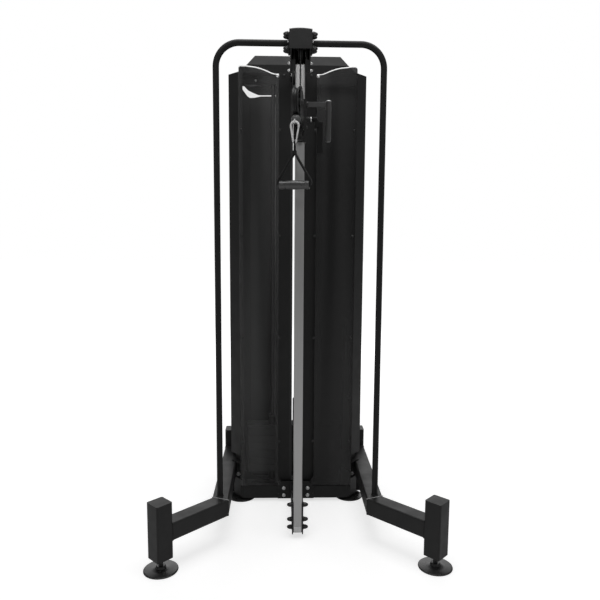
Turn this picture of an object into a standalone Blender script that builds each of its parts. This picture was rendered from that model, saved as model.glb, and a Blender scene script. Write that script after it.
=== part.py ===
"""Single column cable machine, in metres: X to the right, Y to the back, Z up.

The origin is on the floor, under the middle of the footprint.
"""
import math

import bmesh
import bpy
from mathutils import Matrix, Vector

# Gaps and small common sizes
GAP = 0.0003                # between faces that touch
SHEET = 0.003               # folded sheet
ROUND_SIDES = 24
AXLE_SIDES = 16
SMALL_SIDES = 12

# Legs
LEG_TUBE = 0.075
LEG_CORNER = 0.006
ARM_TOP = 0.201
POST_BOTTOM = 0.054
POST_TOP = 0.292
FRONT_POST_X = 0.568
POST_Y = 0.4535
LEG_X = 0.345               # rear arm, knee and rear post
CROSSBAR_HEIGHT = 0.050
CROSSBAR_DEPTH = 0.040

# Levelling feet
FOOT_RADIUS = 0.0715
FOOT_RIM = 0.006
FOOT_HUB_RADIUS = 0.020
FOOT_HUB_TOP = 0.022
STUD_RADIUS = 0.010
STUD_GRIP = 0.020           # how far the stud goes into what it carries
STUD_CLEARANCE = 0.0003

# Arch
ARCH_RADIUS = 0.01325
ARCH_X = 0.349
ARCH_Y = -0.200
ARCH_BEND = 0.097
ARCH_FLANGE = 0.008

# Column
COLUMN_WIDTH = 0.040
COLUMN_WALL = 0.003
COLUMN_Y = -0.192
COLUMN_BOTTOM = 0.028
HOLE_RADIUS = 0.0065
HOLE_PITCH = 0.060
HOLES_BELOW = 25            # below the hole that the plunger sits in
HOLES_ABOVE = 1

# Cable and pulleys
CABLE_RADIUS = 0.0025
PULLEY_FLANGE = 0.005       # rim above the groove's cable line
PULLEY_WIDTH = 0.018
GROOVE_CLEARANCE = 0.0008
AXLE_RADIUS = 0.005
AXLE_CLEARANCE = 0.00005
SWIVEL_Y = -0.243           # the cable comes down on the swivel's axis
CARRIAGE_PULLEY = 0.055     # groove radii
HEAD_PULLEY = 0.045
STACK_PULLEY = 0.050
REAR_PULLEY = 0.035
PULLEY_TOP_Z = 2.135        # axles of the three upper pulleys, from which the whole top is placed
PULLEY_LOW_Z = 0.135        # axles of the two lower pulleys
CARRIAGE_BELOW_TOP = 0.233  # the carriage pulley under the head pulley
HANDLE_SLOPE = math.radians(24)

# Weight train
STACK_Y = 0.275
STACK_BOTTOM = 0.1303
PLATE_COUNT = 6
PLATE_WIDTH = 0.500
PLATE_DEPTH = 0.080
PLATE_HEIGHT = 0.038
PLATE_SPLIT = 0.0012        # gap between plates
LIFTED_PLATES = 2
ROD_X = 0.118
ROD_RADIUS = 0.010
ROD_CLEARANCE = 0.0010
STEM_RADIUS = 0.014
STACK_PULLEY_Z = 0.500
PIN_RADIUS = 0.0055
PIN_HOLE = 0.0062

# Tower
BASE_BOTTOM = 0.015
BASE_TOP = 0.080
BASE_RAIL = 0.040
BASE_FRONT = 0.169
BASE_BACK = 0.410
BASE_HALF = 0.263
BASE_PLATE_TOP = 0.110      # the oblique plates at the base's front corners
WALL_FROM_BASE = 0.070      # the tower's side walls stand this far outside the base's front rail
TOWER_FEET_FRONT_Y = 0.226
TOWER_FEET_REAR_Y = 0.388
POST_FOLD_FRONT = 0.159
POST_SLANT_WIDTH = 0.050
POST_SLANT_BACK = 0.218
POST_WALL_BACK = 0.300
CORNER_POST_BOTTOM = 0.250
INNER_POST_FRONT = 0.187
INNER_POST_BOTTOM = 0.104
SLOT_HALF = 0.0255
INNER_POST_OUTER = 0.105
COVER_THICKNESS = 0.005
COVER_INSET = 0.051          # from the tower's wall to a front cover's outer edge
COVER_BOTTOM = 0.090
BEAM_BELOW_AXLES = 0.003
BEAM_HEIGHT = 0.040
BEAM_DEPTH = 0.040
HEADER_RISE = 0.039         # the header's upright face
HEADER_SLANT = 0.0455       # and the slanted one above it
HEADER_Y = 0.197

# Head
HEAD_HALF = 0.042           # outer face of the head's side plates
HEAD_PLATE = 0.005
HEAD_ABOVE_AXLE = 0.0585
HEAD_FRONT = -0.2645
HEAD_BACK = -0.150
ARCH_ABOVE_AXLE = 0.020     # centre line of the arch's level tube
FLANGE_ABOVE_ARCH = 0.028   # bolts of the arch's flange
FLANGE_BELOW_ARCH = 0.031
BOOM_HALF = 0.0285
BOOM_PLATE = 0.005
BOOM_BELOW_AXLES = 0.045
HEAD_COVER_FRONT = -0.268
HEAD_COVER_GAP = 0.0005
HEAD_COVER_FOLD = 0.003
HEAD_COVER_CROWN = 0.003
COLUMN_TO_PULLEY = 0.016    # column's top below the head pulley's rim

# Lower bracket
BRACKET_PLATE = 0.005
BRACKET_FRONT = -0.215
FLANGE_HALF = 0.093
FLANGE_TOP = 0.105

# Carriage
SLEEVE_ABOVE = 0.028        # the sleeve's ends from the carriage pulley's axle
SLEEVE_BELOW = 0.146
CARRIAGE_WALL = 0.004
BUSH_THICKNESS = 0.003
PLUNGER_BELOW = 0.050
PLUNGER_RADIUS = 0.0055
PLUNGER_DRAWN = 0.0007      # the tip stands this far clear of the column
BARREL_RADIUS = 0.0105
BARREL_END = 0.0485
COLLAR_START = 0.0535
COLLAR_END = 0.073
LUG_ABOVE_END = 0.008       # the lower lug above the sleeve's low end
LUG_PITCH = 0.026
LUG_PLATE = 0.010
SPIGOT_RADIUS = 0.008
SWIVEL_TURN = math.radians(-13)
FORK_HALF = 0.0165
FORK_CHEEK = 0.003
GRAB_BAR_X = 0.1195
GRAB_BAR_RADIUS = 0.0115
GRAB_FLAT = 0.006

# Handle
BALL_RADIUS = 0.0195
EYE_RADIUS = 0.0075
EYE_WIRE = 0.0022
CARABINER_BELOW = 0.170     # under the carriage pulley's axle, as the next two
CARABINER_WIRE = 0.004
CARABINER_HALF = 0.016      # wire centre to wire centre, half
STRAP_WIDTH = 0.024
STRAP_THICKNESS = 0.0025
STRAP_SPLIT_BELOW = 0.208
LOOP_CLEARANCE = 0.0022
GRIP_BELOW = 0.332
GRIP_HALF = 0.0655
GRIP_RADIUS = 0.0175

# Places that follow from the sizes above
CARRIAGE_PULLEY_Z = PULLEY_TOP_Z - CARRIAGE_BELOW_TOP
CARRIAGE_TOP = CARRIAGE_PULLEY_Z + SLEEVE_ABOVE
CARRIAGE_BOTTOM = CARRIAGE_PULLEY_Z - SLEEVE_BELOW
PLUNGER_Z = CARRIAGE_PULLEY_Z - PLUNGER_BELOW
LUG_LOW = CARRIAGE_BOTTOM + LUG_ABOVE_END
LUG_HIGH = LUG_LOW + LUG_PITCH
CARABINER_BOTTOM = CARRIAGE_PULLEY_Z - CARABINER_BELOW
STRAP_SPLIT = CARRIAGE_PULLEY_Z - STRAP_SPLIT_BELOW
GRIP_Z = CARRIAGE_PULLEY_Z - GRIP_BELOW
TOWER_HALF = BASE_HALF + WALL_FROM_BASE
TOWER_FEET_FRONT = (BASE_HALF + 0.017, TOWER_FEET_FRONT_Y)
TOWER_FEET_REAR = (BASE_HALF - 0.063, TOWER_FEET_REAR_Y)
COLUMN_TOP = PULLEY_TOP_Z - HEAD_PULLEY - PULLEY_FLANGE - COLUMN_TO_PULLEY
ARCH_TOP = PULLEY_TOP_Z + ARCH_ABOVE_AXLE
ARCH_BOLT_LOW = ARCH_TOP - FLANGE_BELOW_ARCH
ARCH_BOLT_HIGH = ARCH_TOP + FLANGE_ABOVE_ARCH
HEAD_TOP = PULLEY_TOP_Z + HEAD_ABOVE_AXLE
HEAD_COVER_LOW = HEAD_TOP + HEAD_COVER_GAP
BEAM_TOP = PULLEY_TOP_Z - BEAM_BELOW_AXLES
BEAM_BOTTOM = BEAM_TOP - BEAM_HEIGHT
HEADER_FOLD = BEAM_TOP + HEADER_RISE
HEADER_HIGH = HEADER_FOLD + HEADER_SLANT
CORNER_POST_TOP = BEAM_TOP - 0.004
INNER_POST_TOP = BEAM_TOP - 0.001
SHROUD_TOP = BEAM_BOTTOM - 0.037
FRONT_TOP_PULLEY_Y = STACK_Y - STACK_PULLEY - HEAD_PULLEY
REAR_TOP_PULLEY_Y = STACK_Y + STACK_PULLEY + REAR_PULLEY
HEAD_PULLEY_Y = SWIVEL_Y + HEAD_PULLEY
BACK_RUN_Y = COLUMN_Y + COLUMN_WIDTH / 2 + BUSH_THICKNESS + CARRIAGE_WALL + 0.010
COLUMN_FOOT_PULLEY_Y = BACK_RUN_Y + REAR_PULLEY
ANCHOR_TOP = CARRIAGE_BOTTOM + 0.022
BALL_ALONG = math.sqrt((CARRIAGE_PULLEY + PULLEY_FLANGE + BALL_RADIUS) ** 2 - CARRIAGE_PULLEY ** 2) + 0.0005
FORK_INNER = FORK_HALF - FORK_CHEEK
STOP_ALONG = BALL_ALONG - math.sqrt(BALL_RADIUS ** 2 - FORK_INNER ** 2) - GAP

FINISHES = {
    "paint": ((0.020, 0.020, 0.021), 0.45, 0.0),
    "steel": ((0.42, 0.42, 0.42), 0.35, 1.0),
    "chrome": ((0.75, 0.75, 0.75), 0.12, 1.0),
    "zinc": ((0.60, 0.60, 0.61), 0.28, 1.0),
    "black_steel": ((0.035, 0.035, 0.036), 0.35, 0.6),
    "cast": ((0.030, 0.030, 0.031), 0.60, 0.2),
    "smoked": ((0.020, 0.020, 0.020), 0.08, 0.0),
    "rubber": ((0.022, 0.022, 0.022), 0.75, 0.0),
    "plastic": ((0.025, 0.025, 0.026), 0.50, 0.0),
    "webbing": ((0.028, 0.028, 0.028), 0.90, 0.0),
    "cable": ((0.030, 0.030, 0.030), 0.40, 0.0),
}


def clear_scene():
    """Start from nothing."""
    for thing in list(bpy.data.objects):
        bpy.data.objects.remove(thing, do_unlink=True)


def make_material(name, finish):
    """A Principled material of its own for one sub-part."""
    colour, roughness, metallic = FINISHES[finish]
    material = bpy.data.materials.new(name)
    material.use_nodes = True
    shader = material.node_tree.nodes["Principled BSDF"]
    shader.inputs["Base Color"].default_value = (*colour, 1.0)
    shader.inputs["Roughness"].default_value = roughness
    shader.inputs["Metallic"].default_value = metallic
    return material


def place(name, mesh, finish, origin=(0, 0, 0), parent=None, smooth=True):
    """Turn a bmesh into a named object whose origin is at the given point."""
    bmesh.ops.recalc_face_normals(mesh, faces=mesh.faces)
    bmesh.ops.translate(mesh, verts=mesh.verts, vec=-Vector(origin))
    data = bpy.data.meshes.new(name)
    mesh.to_mesh(data)
    mesh.free()
    if smooth:
        data.shade_smooth()
        data.set_sharp_from_angle(angle=math.radians(35))
    piece = bpy.data.objects.new(name, data)
    bpy.context.scene.collection.objects.link(piece)
    data.materials.append(make_material(name, finish))
    piece.location = origin
    if parent is not None:
        piece.parent = parent
        piece.location = Vector(origin) - parent.location
    return piece


def combine(piece, mesh, operation):
    """Join a second shape to a piece, or cut it away, with an exact Boolean."""
    bmesh.ops.recalc_face_normals(mesh, faces=mesh.faces)
    data = bpy.data.meshes.new(piece.name + "_tool")
    mesh.to_mesh(data)
    mesh.free()
    tool = bpy.data.objects.new(piece.name + "_tool", data)
    bpy.context.scene.collection.objects.link(tool)
    if piece.parent is not None:
        tool.parent = piece.parent
        tool.location = -piece.parent.location
    tool.hide_render = True
    tool.display_type = "WIRE"
    modifier = piece.modifiers.new(operation.lower(), "BOOLEAN")
    modifier.operation = operation
    modifier.solver = "EXACT"
    modifier.object = tool
    return tool


def cut(piece, mesh):
    """Cut a shape out of a piece."""
    return combine(piece, mesh, "DIFFERENCE")


def weld(piece, mesh):
    """Join a shape to a piece."""
    return combine(piece, mesh, "UNION")


def merged(*meshes):
    """One bmesh that holds several."""
    whole = bmesh.new()
    for mesh in meshes:
        data = bpy.data.meshes.new("scrap")
        mesh.to_mesh(data)
        mesh.free()
        whole.from_mesh(data)
        bpy.data.meshes.remove(data)
    return whole


def on_axis(axis):
    """The turn that carries +Z to the named axis, with outlines kept upright.

    Along X an outline is read as (y, z), along Y as (x, z), along Z as (x, y).
    """
    if axis == "X":
        return Matrix(((0, 0, 1), (1, 0, 0), (0, 1, 0))).to_4x4()
    if axis == "Y":
        return Matrix(((1, 0, 0), (0, 0, 1), (0, 1, 0))).to_4x4()
    return Matrix.Identity(4)


def prism(outline, low, high, axis="Z"):
    """A closed outline extruded from low to high along an axis."""
    mesh = bmesh.new()
    corners = [mesh.verts.new((u, v, low)) for u, v in outline]
    face = mesh.faces.new(corners)
    grown = bmesh.ops.extrude_face_region(mesh, geom=[face])["geom"]
    moved = [item for item in grown if isinstance(item, bmesh.types.BMVert)]
    bmesh.ops.translate(mesh, verts=moved, vec=(0, 0, high - low))
    bmesh.ops.transform(mesh, matrix=on_axis(axis), verts=mesh.verts)
    return mesh


def tube_prism(outer, inner, low, high, axis="Z"):
    """An outline with an equal number of points inside it, extruded."""
    mesh = bmesh.new()
    loops = []
    for level in (low, high):
        for outline in (outer, inner):
            loops.append([mesh.verts.new((u, v, level)) for u, v in outline])
    count = len(outer)
    for here, there in ((0, 2), (1, 3), (0, 1), (2, 3)):
        for index in range(count):
            following = (index + 1) % count
            mesh.faces.new((loops[here][index], loops[here][following],
                            loops[there][following], loops[there][index]))
    bmesh.ops.transform(mesh, matrix=on_axis(axis), verts=mesh.verts)
    return mesh


def box(low, high):
    """A box between two corners."""
    outline = [(low[0], low[1]), (high[0], low[1]), (high[0], high[1]), (low[0], high[1])]
    return prism(outline, low[2], high[2])


def rounded(width, height, radius, centre=(0, 0), steps=2):
    """The outline of a rectangle with rounded corners."""
    points = []
    corners = ((1, 1, 0), (-1, 1, 90), (-1, -1, 180), (1, -1, 270))
    for side_u, side_v, start in corners:
        for step in range(steps + 1):
            angle = math.radians(start + 90 * step / steps)
            u = centre[0] + side_u * (width / 2 - radius) + radius * math.cos(angle)
            v = centre[1] + side_v * (height / 2 - radius) + radius * math.sin(angle)
            points.append((u, v))
    return points


def circle(radius, sides, centre=(0, 0)):
    """The outline of a circle."""
    turn = 2 * math.pi / sides
    return [(centre[0] + radius * math.cos((index + 0.5) * turn),
             centre[1] + radius * math.sin((index + 0.5) * turn)) for index in range(sides)]


def rod(radius, low, high, centre, axis="Z", sides=SMALL_SIDES):
    """A plain round bar along an axis, its centre in the outline's own coordinates."""
    return prism(circle(radius, sides, centre), low, high, axis)


def bore(shaft, clearance, sides=SMALL_SIDES):
    """The radius of a faceted hole whose flats clear a round shaft."""
    return (shaft + clearance) / math.cos(math.pi / sides)


def lathe(profile, centre=(0, 0, 0), axis="Z", sides=ROUND_SIDES):
    """A profile of (radius, height) points turned about an axis through a point.

    A profile that starts and ends on the axis is solid, any other one is a closed ring.
    """
    mesh = bmesh.new()
    points = [mesh.verts.new((radius, 0, height)) for radius, height in profile]
    edges = [mesh.edges.new(pair) for pair in zip(points, points[1:])]
    if profile[0][0] > 0:
        edges.append(mesh.edges.new((points[-1], points[0])))
    bmesh.ops.spin(mesh, geom=points + edges, cent=(0, 0, 0), axis=(0, 0, 1),
                   angle=2 * math.pi, steps=sides, use_merge=True)
    bmesh.ops.remove_doubles(mesh, verts=mesh.verts, dist=1e-6)
    placing = Matrix.Translation(centre) @ on_axis(axis)
    bmesh.ops.transform(mesh, matrix=placing, verts=mesh.verts)
    return mesh


def folded(points, thickness):
    """The outline of a bent sheet: an open line given its thickness on the left side."""
    line = [Vector(point) for point in points]
    normals = []
    for start, end in zip(line, line[1:]):
        along = (end - start).normalized()
        normals.append(Vector((-along.y, along.x)))
    offset = []
    for index, point in enumerate(line):
        before = normals[max(index - 1, 0)]
        after = normals[min(index, len(normals) - 1)]
        middle = (before + after).normalized()
        offset.append(point + middle * (thickness / middle.dot(before)))
    return [tuple(point) for point in line] + [tuple(point) for point in reversed(offset)]


def mirrored(outline, side):
    """An outline on the right (1) or mirrored to the left (-1)."""
    return [(side * u, v) for u, v in outline]


def cable(name, route, parent=None, origin=(0, 0, 0)):
    """Round cable along a line of points, with closed ends."""
    curve = bpy.data.curves.new(name, "CURVE")
    curve.dimensions = "3D"
    curve.bevel_depth = CABLE_RADIUS
    curve.bevel_resolution = 2
    curve.use_fill_caps = True
    spline = curve.splines.new("POLY")
    spline.points.add(len(route) - 1)
    for point, spot in zip(spline.points, route):
        point.co = (*(Vector(spot) - Vector(origin)), 1)
    curve.materials.append(make_material(name, "cable"))
    piece = bpy.data.objects.new(name, curve)
    bpy.context.scene.collection.objects.link(piece)
    piece.location = origin
    if parent is not None:
        piece.parent = parent
        piece.location = Vector(origin) - parent.location
    return piece


def arc(centre, radius, start, end, steps):
    """Points of an arc, angles in degrees, in the two coordinates of the centre."""
    points = []
    for step in range(steps + 1):
        angle = math.radians(start + (end - start) * step / steps)
        points.append((centre[0] + radius * math.cos(angle), centre[1] + radius * math.sin(angle)))
    return points


def tube_sweep(path, width, corner, centre_z):
    """A level square bar along a mitred path of (x, y) points."""
    profile = rounded(width, width, corner)
    line = [Vector(point) for point in path]
    ways = [(end - start).normalized() for start, end in zip(line, line[1:])]
    mesh = bmesh.new()
    rings = []
    for index, point in enumerate(line):
        before = ways[max(index - 1, 0)]
        after = ways[min(index, len(ways) - 1)]
        side_before = Vector((-before.y, before.x))
        side_after = Vector((-after.y, after.x))
        side = (side_before + side_after).normalized()
        side = side / side.dot(side_before)
        rings.append([mesh.verts.new((point.x + side.x * u, point.y + side.y * u, centre_z + v))
                      for u, v in profile])
    for ring, following in zip(rings, rings[1:]):
        for index in range(len(ring)):
            after = (index + 1) % len(ring)
            mesh.faces.new((ring[index], ring[after], following[after], following[index]))
    mesh.faces.new(rings[0])
    mesh.faces.new(rings[-1])
    return mesh


def post(x, y, turn):
    """An upright of square bar with rounded corners."""
    mesh = prism(rounded(LEG_TUBE, LEG_TUBE, LEG_CORNER), POST_BOTTOM, POST_TOP)
    placing = Matrix.Translation((x, y, 0)) @ Matrix.Rotation(turn, 4, "Z")
    bmesh.ops.transform(mesh, matrix=placing, verts=mesh.verts)
    return mesh


def stud_hole(x, y, bottom):
    """The hole that a levelling foot's stud turns in."""
    radius = bore(STUD_RADIUS, STUD_CLEARANCE)
    return rod(radius, bottom - 0.01, bottom + STUD_GRIP + 0.002, (x, y))


def make_leg(name, side):
    """A welded leg: front post at 45 degrees, front arm, mitred knee, rear arm, rear post."""
    knee_y = -POST_Y + (FRONT_POST_X - LEG_X)
    front = (side * FRONT_POST_X, -POST_Y)
    rear = (side * LEG_X, POST_Y)
    path = [front, (side * LEG_X, knee_y), rear]
    leg = place(name, tube_sweep(path, LEG_TUBE, LEG_CORNER, ARM_TOP - LEG_TUBE / 2), "paint")
    weld(leg, post(*front, math.radians(45)))
    weld(leg, post(*rear, 0))
    for x, y in (front, rear):
        cut(leg, stud_hole(x, y, POST_BOTTOM))


def make_rear_crossbar():
    """The bar that ties the two rear arms together."""
    half = LEG_X - LEG_TUBE / 2 - GAP
    middle = ARM_TOP - LEG_TUBE / 2
    front = POST_Y - CROSSBAR_DEPTH / 2
    outline = rounded(CROSSBAR_DEPTH, CROSSBAR_HEIGHT, 0.004, (front + CROSSBAR_DEPTH / 2, middle))
    place("rear_crossbar", prism(outline, -half, half, "X"), "paint")


def foot_profile(stud_top):
    """A flat disc with a low hub and a stud, from the floor up."""
    return [(0, 0), (FOOT_RADIUS, 0), (FOOT_RADIUS, FOOT_RIM), (FOOT_HUB_RADIUS, FOOT_RIM + 0.006),
            (FOOT_HUB_RADIUS, FOOT_HUB_TOP), (STUD_RADIUS, FOOT_HUB_TOP), (STUD_RADIUS, stud_top),
            (0, stud_top)]


def make_corner_feet():
    """Four feet that turn on their studs under the legs' posts."""
    for word, x, y in (("front", FRONT_POST_X, -POST_Y), ("rear", LEG_X, POST_Y)):
        for side, hand in ((-1, "left"), (1, "right")):
            spot = (side * x, y, 0)
            mesh = lathe(foot_profile(POST_BOTTOM + STUD_GRIP), spot)
            place(f"foot_{word}_{hand}", mesh, "black_steel", origin=spot)


def arch_path(side):
    """Up from the leg, round the bend and in to the head."""
    bend = arc((ARCH_X - ARCH_BEND, ARCH_TOP - ARCH_BEND), ARCH_BEND, 0, 90, 8)
    flat = [(ARCH_X, ARM_TOP + GAP)] + bend + [(HEAD_HALF + ARCH_FLANGE - 0.001, ARCH_TOP)]
    return [(side * x, z) for x, z in flat]


def pipe(path, radius, sides, at, axis="Y"):
    """A round bar along a path that lies in one plane, given in that plane's coordinates."""
    line = [Vector(point) for point in path]
    ways = [(end - start).normalized() for start, end in zip(line, line[1:])]
    mesh = bmesh.new()
    rings = []
    for index, point in enumerate(line):
        before = ways[max(index - 1, 0)]
        after = ways[min(index, len(ways) - 1)]
        side = (Vector((-before.y, before.x)) + Vector((-after.y, after.x))).normalized()
        side = side / side.dot(Vector((-before.y, before.x)))
        rings.append([mesh.verts.new((point.x + side.x * u, point.y + side.y * u, at + v))
                      for u, v in circle(radius, sides)])
    for ring, following in zip(rings, rings[1:]):
        for index in range(sides):
            after = (index + 1) % sides
            mesh.faces.new((ring[index], ring[after], following[after], following[index]))
    mesh.faces.new(rings[0])
    mesh.faces.new(rings[-1])
    bmesh.ops.transform(mesh, matrix=on_axis(axis), verts=mesh.verts)
    return mesh


def make_arch(name, side):
    """A bent tube from the leg's knee to the head, with the flange that it is welded to."""
    arch = place(name, pipe(arch_path(side), ARCH_RADIUS, 12, ARCH_Y), "paint")
    flange = rounded(0.062, ARCH_BOLT_HIGH - ARCH_BOLT_LOW + 0.022, 0.006,
                     (ARCH_Y, (ARCH_BOLT_HIGH + ARCH_BOLT_LOW) / 2))
    low, high = sorted((side * (HEAD_HALF + GAP), side * (HEAD_HALF + ARCH_FLANGE)))
    weld(arch, prism(flange, low, high, "X"))


def make_column():
    """A square tube with adjusting holes in its right side."""
    outer = rounded(COLUMN_WIDTH, COLUMN_WIDTH, 0.003, (0, COLUMN_Y))
    inner_width = COLUMN_WIDTH - 2 * COLUMN_WALL
    inner = rounded(inner_width, inner_width, 0.001, (0, COLUMN_Y))
    column = place("column", tube_prism(outer, inner, COLUMN_BOTTOM, COLUMN_TOP), "steel")
    holes = []
    for step in range(-HOLES_BELOW, HOLES_ABOVE + 1):
        height = PLUNGER_Z + step * HOLE_PITCH
        holes.append(rod(HOLE_RADIUS, 0.012, 0.025, (COLUMN_Y, height), "X", sides=8))
    cut(column, merged(*holes))


def make_lower_bracket():
    """Two plates that hold the column's foot, and the flange that they carry to the tower."""
    inner = COLUMN_WIDTH / 2 + GAP
    outer = inner + BRACKET_PLATE
    back = BASE_FRONT - GAP
    flange_front = back - BRACKET_PLATE
    side = [(BRACKET_FRONT, 0.021), (-0.155, 0.021), (-0.080, BASE_BOTTOM), (flange_front, BASE_BOTTOM),
            (flange_front, FLANGE_TOP), (0.060, FLANGE_TOP), (-0.100, 0.168), (BRACKET_FRONT, 0.168)]
    bracket = place("lower_bracket", prism(side, inner, outer, "X"), "paint")
    weld(bracket, prism(side, -outer, -inner, "X"))
    plate = [(-FLANGE_HALF, BASE_BOTTOM), (FLANGE_HALF, BASE_BOTTOM), (FLANGE_HALF, FLANGE_TOP),
             (-FLANGE_HALF, FLANGE_TOP)]
    weld(bracket, prism(plate, flange_front - 0.0005, back, "Y"))
    opening = [(-0.012, 0.086), (0.012, 0.086), (0.012, 0.120), (-0.012, 0.120)]
    cut(bracket, prism(opening, flange_front - 0.01, back + 0.01, "Y"))
    weld(bracket, rod(AXLE_RADIUS, -inner - 0.001, inner + 0.001, (COLUMN_FOOT_PULLEY_Y, PULLEY_LOW_Z), "X",
                      sides=AXLE_SIDES))


def boom_outline():
    """The side of the boom: notched over the top beam and bolted behind it."""
    notch_front = STACK_Y - BEAM_DEPTH / 2 - 0.003
    notch_back = STACK_Y + BEAM_DEPTH / 2 + 0.003
    low = PULLEY_TOP_Z - BOOM_BELOW_AXLES
    high = PULLEY_TOP_Z + 0.032
    step = BEAM_TOP + 0.002
    front = HEAD_PULLEY_Y - 0.014
    return [(front, low), (notch_front, low), (notch_front, step), (notch_back, step),
            (notch_back, low + 0.015), (0.392, low + 0.015), (0.405, low + 0.030),
            (0.405, high - 0.010), (0.395, high), (front, high)]


def make_head_bracket():
    """Two side plates over the column's top, and the two plates of the boom between them."""
    plate_outer = HEAD_HALF
    plate_inner = HEAD_HALF - HEAD_PLATE
    axle = PULLEY_TOP_Z
    side = [(HEAD_FRONT, axle - 0.023), (COLUMN_Y - 0.030, axle - 0.050), (COLUMN_Y - 0.020, axle - 0.095),
            (COLUMN_Y + 0.020, axle - 0.095), (HEAD_BACK, axle - 0.055), (HEAD_BACK, HEAD_TOP),
            (HEAD_FRONT, HEAD_TOP)]
    head = place("head_bracket", prism(side, plate_inner, plate_outer, "X"), "paint")
    weld(head, prism(side, -plate_outer, -plate_inner, "X"))
    web = [(-plate_inner - 0.001, HEAD_BACK - HEAD_PLATE), (plate_inner + 0.001, HEAD_BACK - HEAD_PLATE),
           (plate_inner + 0.001, HEAD_BACK), (-plate_inner - 0.001, HEAD_BACK)]
    weld(head, prism(web, COLUMN_TOP + 0.002, axle - 0.045))
    column_side = COLUMN_WIDTH / 2 + GAP
    filler = [(COLUMN_Y - 0.017, axle - 0.092), (COLUMN_Y + 0.017, axle - 0.092),
              (COLUMN_Y + 0.017, axle - 0.045), (COLUMN_Y - 0.017, axle - 0.045)]
    brace = [(HEAD_BACK - 0.012, axle - 0.039), (HEAD_BACK - 0.004, axle - 0.039),
             (HEAD_BACK - 0.004, axle + 0.025), (HEAD_BACK - 0.012, axle + 0.025)]
    for sign in (-1, 1):
        low, high = sorted((sign * column_side, sign * (plate_inner + 0.001)))
        weld(head, prism(filler, low, high, "X"))
        low, high = sorted((sign * (BOOM_HALF - BOOM_PLATE), sign * BOOM_HALF))
        weld(head, prism(boom_outline(), low, high, "X"))
        low, high = sorted((sign * (BOOM_HALF - 0.001), sign * (plate_inner + 0.001)))
        weld(head, prism(brace, low, high, "X"))
    axle_half = BOOM_HALF - BOOM_PLATE + 0.001
    for y in (HEAD_PULLEY_Y, FRONT_TOP_PULLEY_Y, REAR_TOP_PULLEY_Y):
        weld(head, rod(AXLE_RADIUS, -axle_half, axle_half, (y, PULLEY_TOP_Z), "X", sides=AXLE_SIDES))


def make_head_cover():
    """The bent plate over the top and the front of the head, slightly crowned."""
    half = HEAD_HALF - GAP
    front = HEAD_COVER_FRONT
    low = HEAD_COVER_LOW
    lip = PULLEY_TOP_Z - 0.018
    side = [(front, lip), (front + SHEET, lip), (front + SHEET, low), (HEAD_BACK, low), (HEAD_BACK, low + SHEET),
            (front + HEAD_COVER_FOLD, low + SHEET), (front, low + SHEET - HEAD_COVER_FOLD)]
    cover = place("head_cover", prism(side, -half, half, "X"), "paint")
    base = low + SHEET / 2
    top = low + SHEET + HEAD_COVER_CROWN
    crown = [(-half + 0.004, base), (half - 0.004, base), (half - 0.012, top), (-half + 0.012, top)]
    weld(cover, prism(crown, front + HEAD_COVER_FOLD + 0.002, HEAD_BACK - 0.004, "Y"))


def make_tower_base():
    """Front, rear, side and middle rails with the oblique plates at the front corners."""
    front_back = BASE_FRONT + BASE_RAIL
    rear_front = BASE_BACK - BASE_RAIL
    base = place("tower_base", box((-BASE_HALF, BASE_FRONT, BASE_BOTTOM), (BASE_HALF, front_back, BASE_TOP)),
                 "paint")
    weld(base, box((-BASE_HALF, rear_front, BASE_BOTTOM), (BASE_HALF, BASE_BACK, BASE_TOP)))
    middle = (0.030, 0.047)
    weld(base, box((-BASE_HALF, STACK_Y - middle[0], middle[1]), (BASE_HALF, STACK_Y + middle[0], BASE_TOP)))
    for side in (-1, 1):
        low, high = sorted((side * (BASE_HALF - 0.030), side * (BASE_HALF + 0.020)))
        weld(base, box((low, BASE_FRONT + 0.002, BASE_BOTTOM + 0.010), (high, BASE_BACK - 0.002, BASE_TOP - 0.002)))
        edge = TOWER_HALF - 0.013
        bend = BASE_FRONT + 0.061
        end = bend + 0.016
        plan = [(BASE_HALF - 0.004, BASE_FRONT + 0.001), (BASE_HALF + 0.008, BASE_FRONT), (edge, bend), (edge, end),
                (edge - 0.0045, end), (edge - 0.0045, bend + 0.002), (BASE_HALF + 0.005, BASE_FRONT + 0.005),
                (BASE_HALF - 0.004, BASE_FRONT + 0.005)]
        weld(base, prism(mirrored(plan, side), BASE_BOTTOM + 0.002, BASE_PLATE_TOP))
        tie = [(BASE_HALF + 0.015, end - 0.010), (edge - 0.002, end - 0.010), (edge - 0.002, end - 0.0005),
               (BASE_HALF + 0.015, end - 0.0005)]
        weld(base, prism(mirrored(tie, side), BASE_BOTTOM + 0.014, BASE_TOP - 0.006))
    cheek_inner = PULLEY_WIDTH / 2 + 0.0015
    cheek_top = PULLEY_LOW_Z + 0.015
    cheek = [(rear_front + 0.002, BASE_TOP - 0.001), (BASE_BACK - 0.002, BASE_TOP - 0.001),
             (REAR_TOP_PULLEY_Y + 0.020, cheek_top), (REAR_TOP_PULLEY_Y - 0.012, cheek_top),
             (REAR_TOP_PULLEY_Y - 0.012, PULLEY_LOW_Z - 0.013)]
    for side in (-1, 1):
        low, high = sorted((side * cheek_inner, side * (cheek_inner + 0.005)))
        weld(base, prism(cheek, low, high, "X"))
    weld(base, rod(AXLE_RADIUS, -cheek_inner - 0.001, cheek_inner + 0.001, (REAR_TOP_PULLEY_Y, PULLEY_LOW_Z), "X",
                   sides=AXLE_SIDES))
    for side in (-1, 1):
        for x, y in (TOWER_FEET_FRONT, TOWER_FEET_REAR):
            cut(base, stud_hole(side * x, y, BASE_BOTTOM))


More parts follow.
